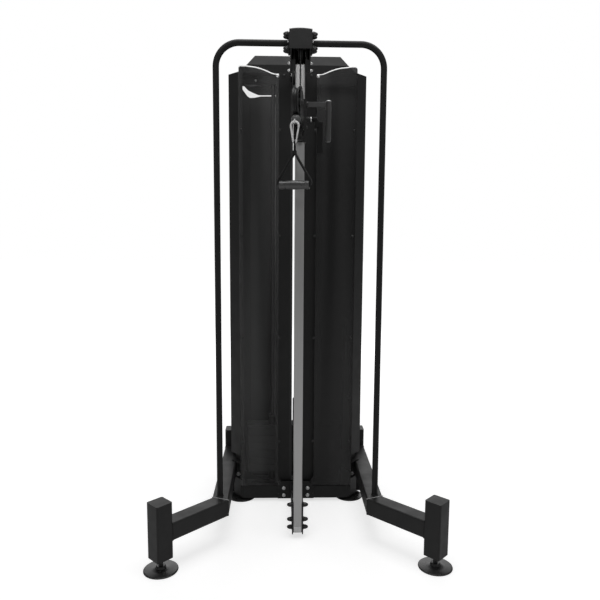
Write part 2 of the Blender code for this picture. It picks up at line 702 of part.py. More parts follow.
def make_tower_feet():
    """Four levelling feet under the tower, screwed right in."""
    top = BASE_BOTTOM + STUD_GRIP
    profile = [(0, 0), (FOOT_RADIUS, 0), (FOOT_RADIUS, FOOT_RIM), (FOOT_HUB_RADIUS, FOOT_RIM + 0.005),
               (STUD_RADIUS, FOOT_RIM + 0.005), (STUD_RADIUS, top), (0, top)]
    for word, (x, y) in (("front", TOWER_FEET_FRONT), ("rear", TOWER_FEET_REAR)):
        for side, hand in ((-1, "left"), (1, "right")):
            spot = (side * x, y, 0)
            place(f"tower_foot_{word}_{hand}", lathe(profile, spot), "black_steel", origin=spot)


def make_corner_post(name, side):
    """A folded upright: front flange, slanted face, and the wall that runs back."""
    bend = TOWER_HALF - POST_SLANT_WIDTH
    flange = bend - 0.021
    line = [(flange, POST_FOLD_FRONT), (bend, POST_FOLD_FRONT), (TOWER_HALF, POST_SLANT_BACK),
            (TOWER_HALF, POST_WALL_BACK)]
    outline = mirrored(folded(line, SHEET), side)
    corner = place(name, prism(outline, CORNER_POST_BOTTOM, CORNER_POST_TOP), "paint")
    foot_end = flange + 0.0125
    foot = mirrored(folded([(flange, POST_FOLD_FRONT), (foot_end, POST_FOLD_FRONT)], SHEET), side)
    foot_low = BASE_PLATE_TOP + GAP
    weld(corner, prism(foot, foot_low, CORNER_POST_BOTTOM + 0.002))
    pad_back = POST_FOLD_FRONT + 0.017
    pad = mirrored([(flange, POST_FOLD_FRONT + 0.001), (foot_end, POST_FOLD_FRONT + 0.001), (foot_end, pad_back),
                    (flange, pad_back)], side)
    weld(corner, prism(pad, foot_low, foot_low + 0.030))
    weld(corner, leg_link(side))


def leg_link(side):
    """A small channel welded under the slanted face, which stands on the leg's arm."""
    low = ARM_TOP + GAP
    high = CORNER_POST_BOTTOM + 0.0005
    wall = 0.004
    depth = 0.030
    channel = [(0, low), (depth, low), (depth, high), (0, high), (0, high - wall),
               (depth - wall, high - wall), (depth - wall, low + wall), (0, low + wall)]
    slant = math.atan2(POST_SLANT_BACK - POST_FOLD_FRONT, POST_SLANT_WIDTH)
    mesh = prism(channel, 0.004, 0.072, "X")
    bend = TOWER_HALF - POST_SLANT_WIDTH
    placing = Matrix.Translation((bend, POST_FOLD_FRONT, 0)) @ Matrix.Rotation(slant, 4, "Z")
    bmesh.ops.transform(mesh, matrix=placing, verts=mesh.verts)
    bmesh.ops.scale(mesh, vec=(side, 1, 1), verts=mesh.verts)
    return mesh


def make_inner_post(name, side):
    """A folded channel beside the slot, standing on the base's front rail."""
    front = INNER_POST_FRONT
    line = [(SLOT_HALF, 0.224), (SLOT_HALF, front), (INNER_POST_OUTER, front), (INNER_POST_OUTER, 0.212)]
    outline = mirrored(folded(line, SHEET), side)
    channel = place(name, prism(outline, INNER_POST_BOTTOM, INNER_POST_TOP), "paint")
    foot = [(SLOT_HALF + 0.001, front + 0.001), (INNER_POST_OUTER - 0.001, front + 0.001),
            (INNER_POST_OUTER - 0.001, 0.208), (SLOT_HALF + 0.001, 0.208)]
    weld(channel, prism(mirrored(foot, side), BASE_TOP + GAP, INNER_POST_BOTTOM + 0.004))
    low, high = sorted((side * (SLOT_HALF - 0.002), side * (BOOM_HALF + 0.004)))
    cut(channel, box((low, front - 0.01, PULLEY_TOP_Z - BOOM_BELOW_AXLES - 0.005), (high, 0.24, INNER_POST_TOP + 0.01)))


def make_rear_shroud(name, side):
    """The folded back panel of one half of the tower."""
    back = BASE_BACK - 0.010
    wall = TOWER_HALF - 0.0005
    rib = INNER_POST_OUTER + 0.015
    line = [(rib - 0.030, back), (rib, back), (rib + 0.012, back - 0.012), (wall - 0.0925, back - 0.012),
            (wall - 0.0355, back - 0.028), (wall, back - 0.070), (wall, POST_WALL_BACK + GAP)]
    outline = mirrored(folded(line, -SHEET), side)
    shroud = place(name, prism(outline, BASE_TOP + GAP, SHROUD_TOP), "paint")
    low, high = sorted((side * (LEG_X - LEG_TUBE / 2 - 0.005), side * (LEG_X + LEG_TUBE / 2)))
    cut(shroud, box((low, 0.28, 0.05), (high, 0.42, ARM_TOP + 0.004)))


def cover_top_edge():
    """The S-shaped top edge of a front cover, from its inner end outwards."""
    inner = INNER_POST_OUTER - 0.015
    outer = TOWER_HALF - COVER_INSET
    curve = [(0, -0.014), (0.10, -0.0135), (0.18, -0.0100), (0.31, 0.0005), (0.44, 0.0095), (0.59, 0.0165),
             (0.75, 0.0200), (0.84, 0.0228)]
    edge = [(inner + share * (outer - inner), BEAM_TOP + rise) for share, rise in curve]
    corner = 0.012
    return edge + arc((outer - corner, BEAM_TOP + 0.011), corner, 90, 0, 3)


def make_front_cover(name, side):
    """A flat smoked sheet in front of one half of the tower."""
    inner = INNER_POST_OUTER - 0.015
    lug = inner - 0.014
    corner = 0.016
    outer = TOWER_HALF - COVER_INSET
    outline = [(lug, COVER_BOTTOM)]
    outline += arc((outer - corner, COVER_BOTTOM + corner), corner, -90, 0, 3)
    outline += list(reversed(cover_top_edge()))
    outline += [(inner, COVER_BOTTOM + 0.045), (lug, COVER_BOTTOM + 0.025)]
    back = POST_FOLD_FRONT - 0.0005
    place(name, prism(mirrored(outline, side), back - COVER_THICKNESS, back, "Y"), "smoked")


def make_header():
    """The folded plate across the tower's top, with slanted ends and a slot for the cable."""
    low = BEAM_TOP + GAP
    levels = [(HEADER_Y + 0.095, low, TOWER_HALF - 0.048), (HEADER_Y, low, TOWER_HALF - 0.048),
              (HEADER_Y, HEADER_FOLD, TOWER_HALF - 0.090), (HEADER_Y + 0.018, HEADER_HIGH, TOWER_HALF - 0.128)]
    line = [(y, z) for y, z, _ in levels]
    outline = folded(line, -SHEET)
    halves = [half for _, _, half in levels]
    halves = halves + list(reversed(halves))
    mesh = bmesh.new()
    left = [mesh.verts.new((-half, y, z)) for (y, z), half in zip(outline, halves)]
    right = [mesh.verts.new((half, y, z)) for (y, z), half in zip(outline, halves)]
    count = len(outline)
    for index in range(count):
        after = (index + 1) % count
        mesh.faces.new((left[index], left[after], right[after], right[index]))
    for ring in (left, right):
        for start in range(count // 2 - 1):
            mesh.faces.new((ring[start], ring[start + 1], ring[count - 2 - start], ring[count - 1 - start]))
    header = place("header", mesh, "paint")
    slot = BOOM_HALF + 0.0025
    cut(header, box((-slot, HEADER_Y - 0.05, low - 0.03), (slot, HEADER_Y + 0.15, HEADER_HIGH - 0.016)))


def make_top_beam():
    """The beam that carries the guide rods and ties the corner posts."""
    half = TOWER_HALF - 0.0035
    beam = place("top_beam", box((-half, STACK_Y - BEAM_DEPTH / 2, BEAM_BOTTOM),
                                 (half, STACK_Y + BEAM_DEPTH / 2, BEAM_TOP)), "paint")
    hole = bore(ROD_RADIUS, GAP, 16)
    for side in (-1, 1):
        cut(beam, rod(hole, BEAM_BOTTOM - 0.01, BEAM_BOTTOM + 0.0302, (side * ROD_X, STACK_Y), sides=16))


def pulley(name, groove, y, z):
    """A plain grooved wheel on a level axle along X, with its origin on the axle."""
    rim = groove + PULLEY_FLANGE
    half = PULLEY_WIDTH / 2
    hole = bore(AXLE_RADIUS, AXLE_CLEARANCE, AXLE_SIDES)
    profile = [(hole, -half), (rim, -half)] + groove_root(groove) + [(rim, half), (hole, half)]
    place(name, lathe(profile, (0, y, z), "X", AXLE_SIDES), "plastic", origin=(0, y, z))


def groove_root(groove):
    """The bottom of a groove in which the cable lies at the given radius."""
    root = groove - CABLE_RADIUS - GROOVE_CLEARANCE
    return [(root, -CABLE_RADIUS), (root, CABLE_RADIUS)]


def webbed_pulley(name, groove, y, z, width, parent):
    """A grooved wheel with a thin web between its hub and its rim."""
    rim = groove + PULLEY_FLANGE
    half = width / 2
    web = 0.005
    hole = bore(AXLE_RADIUS, AXLE_CLEARANCE, ROUND_SIDES)
    profile = [(hole, -half), (0.017, -half), (0.019, -web), (rim - 0.009, -web), (rim - 0.006, -half),
               (rim, -half)] + groove_root(groove)
    profile += [(rim, half), (rim - 0.006, half), (rim - 0.009, web), (0.019, web), (0.017, half), (hole, half)]
    place(name, lathe(profile, (0, y, z), "X"), "plastic", origin=(0, y, z), parent=parent)


def make_root_pulleys():
    """The five pulleys whose axles stay with the frame."""
    pulley("head_pulley", HEAD_PULLEY, HEAD_PULLEY_Y, PULLEY_TOP_Z)
    pulley("front_top_pulley", HEAD_PULLEY, FRONT_TOP_PULLEY_Y, PULLEY_TOP_Z)
    pulley("rear_top_pulley", REAR_PULLEY, REAR_TOP_PULLEY_Y, PULLEY_TOP_Z)
    pulley("base_pulley", REAR_PULLEY, REAR_TOP_PULLEY_Y, PULLEY_LOW_Z)
    pulley("column_foot_pulley", REAR_PULLEY, COLUMN_FOOT_PULLEY_Y, PULLEY_LOW_Z)


def make_weight_train():
    """Guide rods, bumpers, weight plates, the carrier with its pulley, and the selector pin."""
    inner = bore(ROD_RADIUS, GAP, 16)
    for side, word in ((-1, "left"), (1, "right")):
        centre = (side * ROD_X, STACK_Y)
        place(f"guide_rod_{word}", rod(ROD_RADIUS, BASE_TOP + GAP, BEAM_BOTTOM + 0.030, centre, sides=16),
              "chrome")
        ring = tube_prism(circle(0.026, 16, centre), circle(inner, 16, centre), BASE_TOP + GAP,
                          STACK_BOTTOM - GAP)
        place(f"bumper_{word}", ring, "rubber")
    rod_hole = bore(ROD_RADIUS, ROD_CLEARANCE)
    stem_hole = bore(STEM_RADIUS, ROD_CLEARANCE)
    pitch = PLATE_HEIGHT + PLATE_SPLIT
    for number in range(1, PLATE_COUNT + 1):
        low = STACK_BOTTOM + (PLATE_COUNT - number) * pitch
        outline = rounded(PLATE_WIDTH, PLATE_DEPTH, 0.004, (0, STACK_Y), steps=1)
        plate = place(f"weight_plate_{number}", prism(outline, low, low + PLATE_HEIGHT), "cast")
        tools = [rod(rod_hole, low - 0.01, low + PLATE_HEIGHT + 0.01, (side * ROD_X, STACK_Y))
                 for side in (-1, 1)]
        cut(plate, merged(*tools))
        cut(plate, rod(stem_hole, low - 0.01, low + PLATE_HEIGHT + 0.01, (0, STACK_Y)))
        cut(plate, rod(PIN_HOLE, 0.2, STACK_Y, (0, low + PLATE_HEIGHT / 2), "Y", sides=8))
    make_stack_carrier(pitch)
    make_selector_pin(STACK_BOTTOM + (PLATE_COUNT - LIFTED_PLATES) * pitch + PLATE_HEIGHT / 2)
    pulley("stack_pulley", STACK_PULLEY, STACK_Y, STACK_PULLEY_Z)


def make_stack_carrier(pitch):
    """Top plate with guide sleeves, the drilled stem below it and the pulley's yoke above it."""
    top = STACK_BOTTOM + PLATE_COUNT * pitch
    plate_top = top + 0.016
    outline = rounded(PLATE_WIDTH, PLATE_DEPTH, 0.004, (0, STACK_Y), steps=1)
    carrier = place("stack_carrier", prism(outline, top, plate_top), "cast")
    stem_bottom = STACK_BOTTOM + 0.004
    weld(carrier, rod(STEM_RADIUS, stem_bottom, top + 0.002, (0, STACK_Y)))
    inner = PULLEY_WIDTH / 2 + 0.0015
    yoke = [(STACK_Y - 0.020, plate_top - 0.002), (STACK_Y + 0.020, plate_top - 0.002),
            (STACK_Y + 0.014, STACK_PULLEY_Z + 0.012), (STACK_Y - 0.014, STACK_PULLEY_Z + 0.012)]
    for side in (-1, 1):
        low, high = sorted((side * inner, side * (inner + 0.005)))
        weld(carrier, prism(yoke, low, high, "X"))
        sleeve = rod(0.024, plate_top - 0.002, plate_top + 0.045, (side * ROD_X, STACK_Y), sides=16)
        weld(carrier, sleeve)
    weld(carrier, rod(AXLE_RADIUS, -inner - 0.001, inner + 0.001, (STACK_Y, STACK_PULLEY_Z), "X",
                      sides=AXLE_SIDES))
    rod_hole = bore(ROD_RADIUS, ROD_CLEARANCE)
    holes = [rod(rod_hole, top - 0.01, plate_top + 0.06, (side * ROD_X, STACK_Y)) for side in (-1, 1)]
    cut(carrier, merged(*holes))
    pin_holes = [rod(PIN_HOLE, 0.2, 0.35, (0, STACK_BOTTOM + step * pitch + PLATE_HEIGHT / 2), "Y", sides=8)
                 for step in range(PLATE_COUNT)]
    cut(carrier, merged(*pin_holes))


def make_selector_pin(z):
    """A pin with a round head, pushed in from the front through one plate and the stem."""
    front = STACK_Y - PLATE_DEPTH / 2
    tip = STACK_Y + STEM_RADIUS - 0.001 - front
    profile = [(0, -0.030), (0.013, -0.030), (0.015, -0.026), (0.015, -0.006), (0.011, -0.001),
               (PIN_RADIUS, -0.001), (PIN_RADIUS, tip - 0.003), (0.003, tip), (0, tip)]
    place("selector_pin", lathe(profile, (0, front, z), "Y", sides=16), "plastic", origin=(0, front, z))


def sleeve_outline(half):
    """A rounded square around the column."""
    return rounded(2 * half, 2 * half, 0.003, (0, COLUMN_Y))


def make_carriage():
    """The sleeve on the column, with the swivel's lugs in front and the cable's anchor behind."""
    inner = COLUMN_WIDTH / 2 + BUSH_THICKNESS
    outer = inner + CARRIAGE_WALL
    sleeve = place("carriage", tube_prism(sleeve_outline(outer), sleeve_outline(inner),
                                          CARRIAGE_BOTTOM, CARRIAGE_TOP), "paint")
    front = COLUMN_Y - outer
    lug = [(-0.013, front + 0.001), (-0.013, SWIVEL_Y), (-0.007, SWIVEL_Y - 0.014), (0.007, SWIVEL_Y - 0.014),
           (0.013, SWIVEL_Y), (0.013, front + 0.001)]
    for low in (LUG_LOW, LUG_HIGH):
        weld(sleeve, prism(lug, low, low + LUG_PLATE))
    hole = bore(SPIGOT_RADIUS, AXLE_CLEARANCE, ROUND_SIDES)
    cut(sleeve, rod(hole, LUG_LOW - 0.01, LUG_HIGH + 0.02, (0, SWIVEL_Y), sides=ROUND_SIDES))
    back = COLUMN_Y + outer
    anchor = [(-0.008, back - 0.001), (0.008, back - 0.001), (0.008, BACK_RUN_Y + 0.007),
              (-0.008, BACK_RUN_Y + 0.007)]
    weld(sleeve, prism(anchor, CARRIAGE_BOTTOM + 0.004, ANCHOR_TOP))
    barrel = rod(BARREL_RADIUS, outer - 0.001, BARREL_END, (COLUMN_Y, PLUNGER_Z), "X", sides=16)
    weld(sleeve, barrel)
    plunger = bore(PLUNGER_RADIUS, 0.0001)
    cut(sleeve, rod(plunger, 0.0, 0.06, (COLUMN_Y, PLUNGER_Z), "X"))


def make_slide_bush():
    """The plastic liner between the carriage and the column."""
    inner = COLUMN_WIDTH / 2 + GAP
    outer = COLUMN_WIDTH / 2 + BUSH_THICKNESS - GAP
    liner = tube_prism(sleeve_outline(outer), sleeve_outline(inner), CARRIAGE_BOTTOM + 0.004, CARRIAGE_TOP - 0.004)
    bush = place("slide_bush", liner, "plastic")
    cut(bush, rod(bore(PLUNGER_RADIUS, 0.0005), 0.0, 0.06, (COLUMN_Y, PLUNGER_Z), "X"))


def make_grab_handle():
    """A flat bar out to the right with a round bar to hold."""
    outer = COLUMN_WIDTH / 2 + BUSH_THICKNESS + CARRIAGE_WALL + GAP
    front = -0.203
    flat = [(outer, front), (GRAB_BAR_X, front), (GRAB_BAR_X, front + GRAB_FLAT),
            (outer + GRAB_FLAT, front + GRAB_FLAT), (outer + GRAB_FLAT, -0.175), (outer, -0.175)]
    handle = place("grab_handle", prism(flat, CARRIAGE_TOP - 0.029, CARRIAGE_TOP - 0.008), "paint")
    low = CARRIAGE_BOTTOM + 0.003
    bar = [(0, low), (GRAB_BAR_RADIUS - 0.003, low), (GRAB_BAR_RADIUS, low + 0.003),
           (GRAB_BAR_RADIUS, CARRIAGE_TOP - 0.003), (GRAB_BAR_RADIUS - 0.003, CARRIAGE_TOP), (0, CARRIAGE_TOP)]
    weld(handle, lathe(bar, (GRAB_BAR_X, -0.200, 0), sides=16))


def make_release_lever():
    """The plunger, drawn just clear of the column, with its block and the lever bar that pulls it."""
    tip = COLUMN_WIDTH / 2 + PLUNGER_DRAWN
    end = COLLAR_END - 0.007
    plunger = [(0, tip), (PLUNGER_RADIUS - 0.001, tip), (PLUNGER_RADIUS, tip + 0.001), (PLUNGER_RADIUS, end),
               (0, end)]
    lever = place("release_lever", lathe(plunger, (0, COLUMN_Y, PLUNGER_Z), "X"), "paint",
                  origin=(0, COLUMN_Y, PLUNGER_Z))
    collar = rod(BARREL_RADIUS, COLLAR_START, COLLAR_END, (COLUMN_Y, PLUNGER_Z), "X", sides=16)
    weld(lever, collar)
    block = [(0.0625, PLUNGER_Z - 0.034), (0.080, PLUNGER_Z - 0.034), (0.080, PLUNGER_Z - 0.006),
             (0.0625, PLUNGER_Z - 0.006)]
    weld(lever, prism(block, COLUMN_Y - 0.008, COLUMN_Y + 0.008, "Y"))
    low = PLUNGER_Z - 0.140
    high = PLUNGER_Z - 0.011
    bar = [(0.0725, low), (0.0960, low), (0.0960, high), (0.0725, high)]
    weld(lever, prism(bar, COLUMN_Y - 0.003, COLUMN_Y + 0.003, "Y"))


def swivel_frame():
    """An empty on the swivel's axis, turned as the fork stands."""
    swivel = bpy.data.objects.new("swivel_axis", None)
    bpy.context.scene.collection.objects.link(swivel)
    swivel.location = (0, SWIVEL_Y, 0)
    swivel.rotation_euler = (0, 0, SWIVEL_TURN)
    return swivel


def ahead(reach):
    """The Y of a place so far in front of the swivel's axis, before the swivel is turned."""
    return SWIVEL_Y - reach


def handle_line(along):
    """A place on the straight cable below the carriage pulley: (reach, height)."""
    slope = (math.cos(HANDLE_SLOPE), -math.sin(HANDLE_SLOPE))
    leaves = (CARRIAGE_PULLEY * (1 - math.sin(HANDLE_SLOPE)),
              CARRIAGE_PULLEY_Z - CARRIAGE_PULLEY * math.cos(HANDLE_SLOPE))
    return leaves[0] + along * slope[0], leaves[1] + along * slope[1]


def make_pulley_fork(swivel):
    """Two cheeks beside the pulley, their base, and the spigot that turns in the carriage's lugs."""
    level = CARRIAGE_PULLEY_Z
    base_low = LUG_HIGH + LUG_PLATE + GAP
    stop = handle_line(STOP_ALONG)
    rise = (0.012 * math.sin(HANDLE_SLOPE), 0.012 * math.cos(HANDLE_SLOPE))
    side = [(-0.010, base_low), (0.019, base_low), (stop[0] - rise[0], stop[1] - rise[1]),
            (stop[0] + rise[0], stop[1] + rise[1]), (0.080, level - 0.017), (0.075, level + 0.023),
            (0.063, level + 0.060), (0.046, level + 0.060), (0.019, level + 0.036), (-0.0085, level - 0.017)]
    outline = [(ahead(reach), z) for reach, z in side]
    fork = place("pulley_fork", prism(outline, FORK_INNER, FORK_HALF, "X"), "black_steel",
                 origin=(0, SWIVEL_Y, base_low), parent=swivel)
    weld(fork, prism(outline, -FORK_HALF, -FORK_INNER, "X"))
    base_high = level - 0.078
    base = [(ahead(-0.010), base_low), (ahead(0.016), base_low), (ahead(0.016), base_high),
            (ahead(-0.0095), base_high)]
    weld(fork, prism(base, -FORK_HALF + 0.001, FORK_HALF - 0.001, "X"))
    spigot = [(0, LUG_LOW - 0.005), (SPIGOT_RADIUS + 0.003, LUG_LOW - 0.005), (SPIGOT_RADIUS + 0.003, LUG_LOW - GAP),
              (SPIGOT_RADIUS, LUG_LOW - GAP), (SPIGOT_RADIUS, base_low + 0.001), (0, base_low + 0.001)]
    weld(fork, lathe(spigot, (0, SWIVEL_Y, 0)))
    axle_y = ahead(CARRIAGE_PULLEY)
    head = FORK_HALF + 0.004
    axle = [(0, -head), (0.007, -head), (0.009, -FORK_HALF - 0.001), (0.009, 0.001 - FORK_HALF),
            (AXLE_RADIUS, 0.001 - FORK_HALF), (AXLE_RADIUS, FORK_HALF - 0.001), (0.009, FORK_HALF - 0.001),
            (0.009, FORK_HALF + 0.001), (0.007, head), (0, head)]
    weld(fork, lathe(axle, (0, axle_y, CARRIAGE_PULLEY_Z), "X"))
    webbed_pulley("carriage_pulley", CARRIAGE_PULLEY, axle_y, CARRIAGE_PULLEY_Z, 2 * FORK_INNER - 0.002, swivel)


def ring_eye(centre, major, minor, sides, axis):
    """A closed wire ring in the plane across an axis."""
    profile = [(major + u, v) for u, v in circle(minor, 6)]
    return lathe(profile, centre, axis, sides=sides)


def make_ball(swivel):
    """The ball that stops against the fork, with the wire eye in front of it."""
    reach, z = handle_line(BALL_ALONG)
    eye_reach, eye_z = handle_line(BALL_ALONG + BALL_RADIUS + EYE_RADIUS - 0.001)
    centre = (0, ahead(reach), z)
    steps = 8
    profile = [(BALL_RADIUS * math.sin(math.pi * step / steps), -BALL_RADIUS * math.cos(math.pi * step / steps))
               for step in range(1, steps)]
    profile = [(0, -BALL_RADIUS)] + profile + [(0, BALL_RADIUS)]
    ball = place("ball_stopper", lathe(profile, centre, sides=AXLE_SIDES), "rubber", origin=centre, parent=swivel)
    weld(ball, ring_eye((0, ahead(eye_reach), eye_z), EYE_RADIUS, EYE_WIRE, 12, "X"))
    return eye_reach, eye_z


def make_carabiner(swivel, reach, eye_z):
    """A pear-shaped wire hook that hangs in the eye, with a sprung gate on its right side."""
    top = eye_z - (EYE_RADIUS - EYE_WIRE - CARABINER_WIRE) + GAP
    bottom = CARABINER_BOTTOM + CARABINER_WIRE
    wide = CARABINER_HALF
    narrow = 0.0065
    upper = (0, top - wide)
    lower = (0, bottom + narrow)
    lean = math.asin((wide - narrow) / (upper[1] - lower[1]))
    outward = Vector((math.cos(lean), -math.sin(lean)))
    low_end = Vector(lower) + narrow * outward
    high_end = Vector(upper) + wide * outward
    way = (high_end - low_end).normalized()
    gate_bottom = low_end + 0.0070 * way
    gate_top = high_end - 0.0045 * way
    lean = math.degrees(lean)
    path = [tuple(gate_bottom - 0.0016 * way)]
    path += arc(lower, narrow, -lean, lean - 180, 8)
    path += arc(upper, wide, 180 + lean, -lean, 10)
    path += [tuple(gate_top + 0.0005 * way)]
    y = ahead(reach)
    place("carabiner", pipe(path, CARABINER_WIRE, 8, y), "chrome", origin=(0, y, top), parent=swivel)
    gate = pipe([gate_bottom, gate_top], CARABINER_WIRE * 0.8, 8, y)
    place("carabiner_gate", gate, "chrome", origin=(gate_bottom.x, y, gate_bottom.y), parent=swivel)
    return bottom


def make_strap(swivel, reach, wire_z):
    """Webbing: a small loop round the hook's wire, a neck, and a triangle that runs through the grip."""
    y = ahead(reach)
    thick = 0.004
    half = GRIP_HALF + 0.001
    low = GRIP_Z - thick / 2
    high = GRIP_Z + 0.022
    line = [(-0.0045, STRAP_SPLIT + 0.006), (-half, high), (-half, low), (half, low), (half, high),
            (0.0045, STRAP_SPLIT + 0.006)]
    strap = place("strap", prism(folded(line, thick), y - STRAP_WIDTH / 2, y + STRAP_WIDTH / 2, "Y"), "webbing",
                  origin=(0, y, wire_z), parent=swivel)
    neck = [(-0.0045, STRAP_SPLIT), (0.0045, STRAP_SPLIT), (0.0045, wire_z - 0.0068), (-0.0045, wire_z - 0.0068)]
    weld(strap, prism(neck, y - 0.0085, y + 0.0085, "Y"))
    inner = bore(CARABINER_WIRE, LOOP_CLEARANCE, 12)
    loop = tube_prism(circle(inner + STRAP_THICKNESS, 12, (y, wire_z)), circle(inner, 12, (y, wire_z)),
                      -0.0026, 0.0026, "X")
    weld(strap, loop)


def make_grip(swivel, reach):
    """A contoured tube around the strap."""
    y = ahead(reach)
    inner = 0.0138
    half = GRIP_HALF - 0.0045
    profile = [(inner, -half), (GRIP_RADIUS - 0.001, -half), (GRIP_RADIUS, -half + 0.003), (GRIP_RADIUS, -half + 0.012),
               (0.0160, -0.040), (0.0175, -0.022), (0.0185, 0), (0.0175, 0.022), (0.0160, 0.040),
               (GRIP_RADIUS, half - 0.012), (GRIP_RADIUS, half - 0.003), (GRIP_RADIUS - 0.001, half), (inner, half)]
    place("grip", lathe(profile, (0, y, GRIP_Z), "X", sides=16), "rubber", origin=(0, y, GRIP_Z), parent=swivel)


def along_x0(points):
    """Points given as (y, z) in the machine's middle plane."""
    return [(0, y, z) for y, z in points]


def make_cables(swivel):
    """The cable, from the carriage's back to the carriage pulley, and its handle end."""
    top = PULLEY_TOP_Z
    low = PULLEY_LOW_Z
    route = [(SWIVEL_Y, CARRIAGE_PULLEY_Z + GAP)]
    route += arc((HEAD_PULLEY_Y, top), HEAD_PULLEY, 180, 90, 6)
    route += arc((FRONT_TOP_PULLEY_Y, top), HEAD_PULLEY, 90, 0, 6)
    route += arc((STACK_Y, STACK_PULLEY_Z), STACK_PULLEY, -180, 0, 14)
    route += arc((REAR_TOP_PULLEY_Y, top), REAR_PULLEY, 180, 0, 12)
    route += arc((REAR_TOP_PULLEY_Y, low), REAR_PULLEY, 0, -90, 6)
    route += arc((COLUMN_FOOT_PULLEY_Y, low), REAR_PULLEY, -90, -180, 6)
    route.append((BACK_RUN_Y, CARRIAGE_BOTTOM + 0.004 - GAP))
    cable("cable", along_x0(route))
    wrap = arc((CARRIAGE_PULLEY, CARRIAGE_PULLEY_Z), CARRIAGE_PULLEY, 180, 270 - math.degrees(HANDLE_SLOPE), 7)
    wrap.append(handle_line(BALL_ALONG - BALL_RADIUS - 2 * GAP))
    cable("cable_handle_run", [(0, ahead(reach), z) for reach, z in wrap],
          parent=swivel, origin=(0, SWIVEL_Y, CARRIAGE_PULLEY_Z))


def main():
    """Build the whole machine."""
    clear_scene()
    for side, word in ((-1, "left"), (1, "right")):
        make_leg(f"leg_{word}", side)
        make_arch(f"arch_{word}", side)
        make_corner_post(f"corner_post_{word}", side)
        make_inner_post(f"inner_post_{word}", side)
        make_rear_shroud(f"rear_shroud_{word}", side)
        make_front_cover(f"front_cover_{word}", side)
    make_rear_crossbar()
    make_corner_feet()
    make_column()
    make_lower_bracket()
    make_head_bracket()
    make_head_cover()
    make_tower_base()
    make_tower_feet()
    make_header()
    make_top_beam()
    make_root_pulleys()
    make_weight_train()
    make_carriage()
    make_slide_bush()
    make_grab_handle()
    make_release_lever()
    swivel = swivel_frame()
    make_pulley_fork(swivel)
    reach, eye_z = make_ball(swivel)
    wire_z = make_carabiner(swivel, reach, eye_z)
    make_strap(swivel, reach, wire_z)
    make_grip(swivel, reach)
    make_cables(swivel)


main()
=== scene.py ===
"""Looks of the cable machine: materials, fine pieces, fasteners, welds, cable runs and the studio.

Metres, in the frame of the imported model: X right, Y back, Z up, origin on the floor under the middle.
"""
import math

import bmesh
import bpy
from mathutils import Matrix, Vector


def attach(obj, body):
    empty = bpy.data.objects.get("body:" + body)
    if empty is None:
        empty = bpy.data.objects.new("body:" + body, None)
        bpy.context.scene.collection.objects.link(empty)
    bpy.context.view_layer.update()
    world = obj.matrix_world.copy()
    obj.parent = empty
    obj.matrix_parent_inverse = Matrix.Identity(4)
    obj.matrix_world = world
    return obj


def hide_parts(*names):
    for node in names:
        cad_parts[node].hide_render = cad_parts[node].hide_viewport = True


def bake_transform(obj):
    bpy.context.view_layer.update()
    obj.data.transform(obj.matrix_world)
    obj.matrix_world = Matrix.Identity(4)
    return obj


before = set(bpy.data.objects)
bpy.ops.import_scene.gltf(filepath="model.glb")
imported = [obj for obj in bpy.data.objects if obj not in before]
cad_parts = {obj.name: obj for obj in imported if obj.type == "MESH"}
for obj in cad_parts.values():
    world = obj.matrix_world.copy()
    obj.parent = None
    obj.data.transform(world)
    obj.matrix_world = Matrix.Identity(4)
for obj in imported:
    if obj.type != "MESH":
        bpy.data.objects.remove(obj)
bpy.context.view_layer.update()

# Carriage and handle, as in the solids
SWIVEL_Y = -0.243
SWIVEL_TURN = math.radians(-13)
SLOPE = math.radians(24)
CARRIAGE_PULLEY = 0.055
CARRIAGE_PULLEY_Z = 1.902
PLUNGER_Z = 1.852
CABLE_RADIUS = 0.0025
BALL_RADIUS = 0.0195
EYE_RADIUS = 0.0075
EYE_WIRE = 0.0022
CARABINER_WIRE = 0.004
CARABINER_LOW = 1.736  # centre of the wire at the hook's low end
GRIP_Z = 1.57
GRIP_HALF = 0.0655
STRAP_SPLIT = 1.694
GRAB_X = 0.1195
GRAB_Y = -0.2

# Pulleys: groove radii and centres
PULLEY_RIM = 0.005  # rim beyond the groove
PULLEY_WIDTH = 0.018
CARRIAGE_PULLEY_WIDTH = 0.025
HEAD_PULLEY = 0.045
HEAD_PULLEY_Y = -0.198
FRONT_TOP_PULLEY_Y = 0.18
STACK_PULLEY = 0.05
STACK_Y = 0.275
STACK_PULLEY_Z = 0.5
REAR_PULLEY = 0.035
REAR_TOP_PULLEY_Y = 0.36
COLUMN_FOOT_PULLEY_Y = -0.12
BACK_RUN_Y = -0.155
BACK_RUN_TOP = 1.761
PULLEY_TOP_Z = 2.135
PULLEY_LOW_Z = 0.135

# Column, head and arch
COLUMN_Y = -0.192
COLUMN_SPAN = (0.028, 2.069)
HOLE_PITCH = 0.06
ARCH_X = 0.349
ARCH_Y = -0.2
ARCH_TOP = 2.155
ARCH_BEND = 0.097
ARCH_RADIUS = 0.01325
HEAD_SIDE = 0.0423  # outer face of the head's side plates
FLANGE_FACE = 0.05  # outer face of the arch's flange
FLANGE_Z = 2.1535
HEAD_COVER_TOP = 2.1985
LOWER_FACE = 0.0253  # outer face of the lower bracket

# Legs
LEG_HALF = 0.0375
ARM_TOP = 0.201
FRONT_POST = (0.568, -0.4535)
LEG_X = 0.345
KNEE_Y = -0.2305
REAR_POST_Y = 0.4535

# Tower
ROD_X = 0.118
ROD_RADIUS = 0.01
ROD_SPAN = (0.0803, 2.1215)
COVER_FRONT = 0.1535
COVER_BACK = 0.1585
BASE_FACE = 0.1637
REAR_PLATES = (0.4035, 0.4055)
REAR_PLATE_LOW = 2.035
REAR_PLATE_HIGH = 2.14
PIN_PLACE = (0, 0.235, 0.3061)

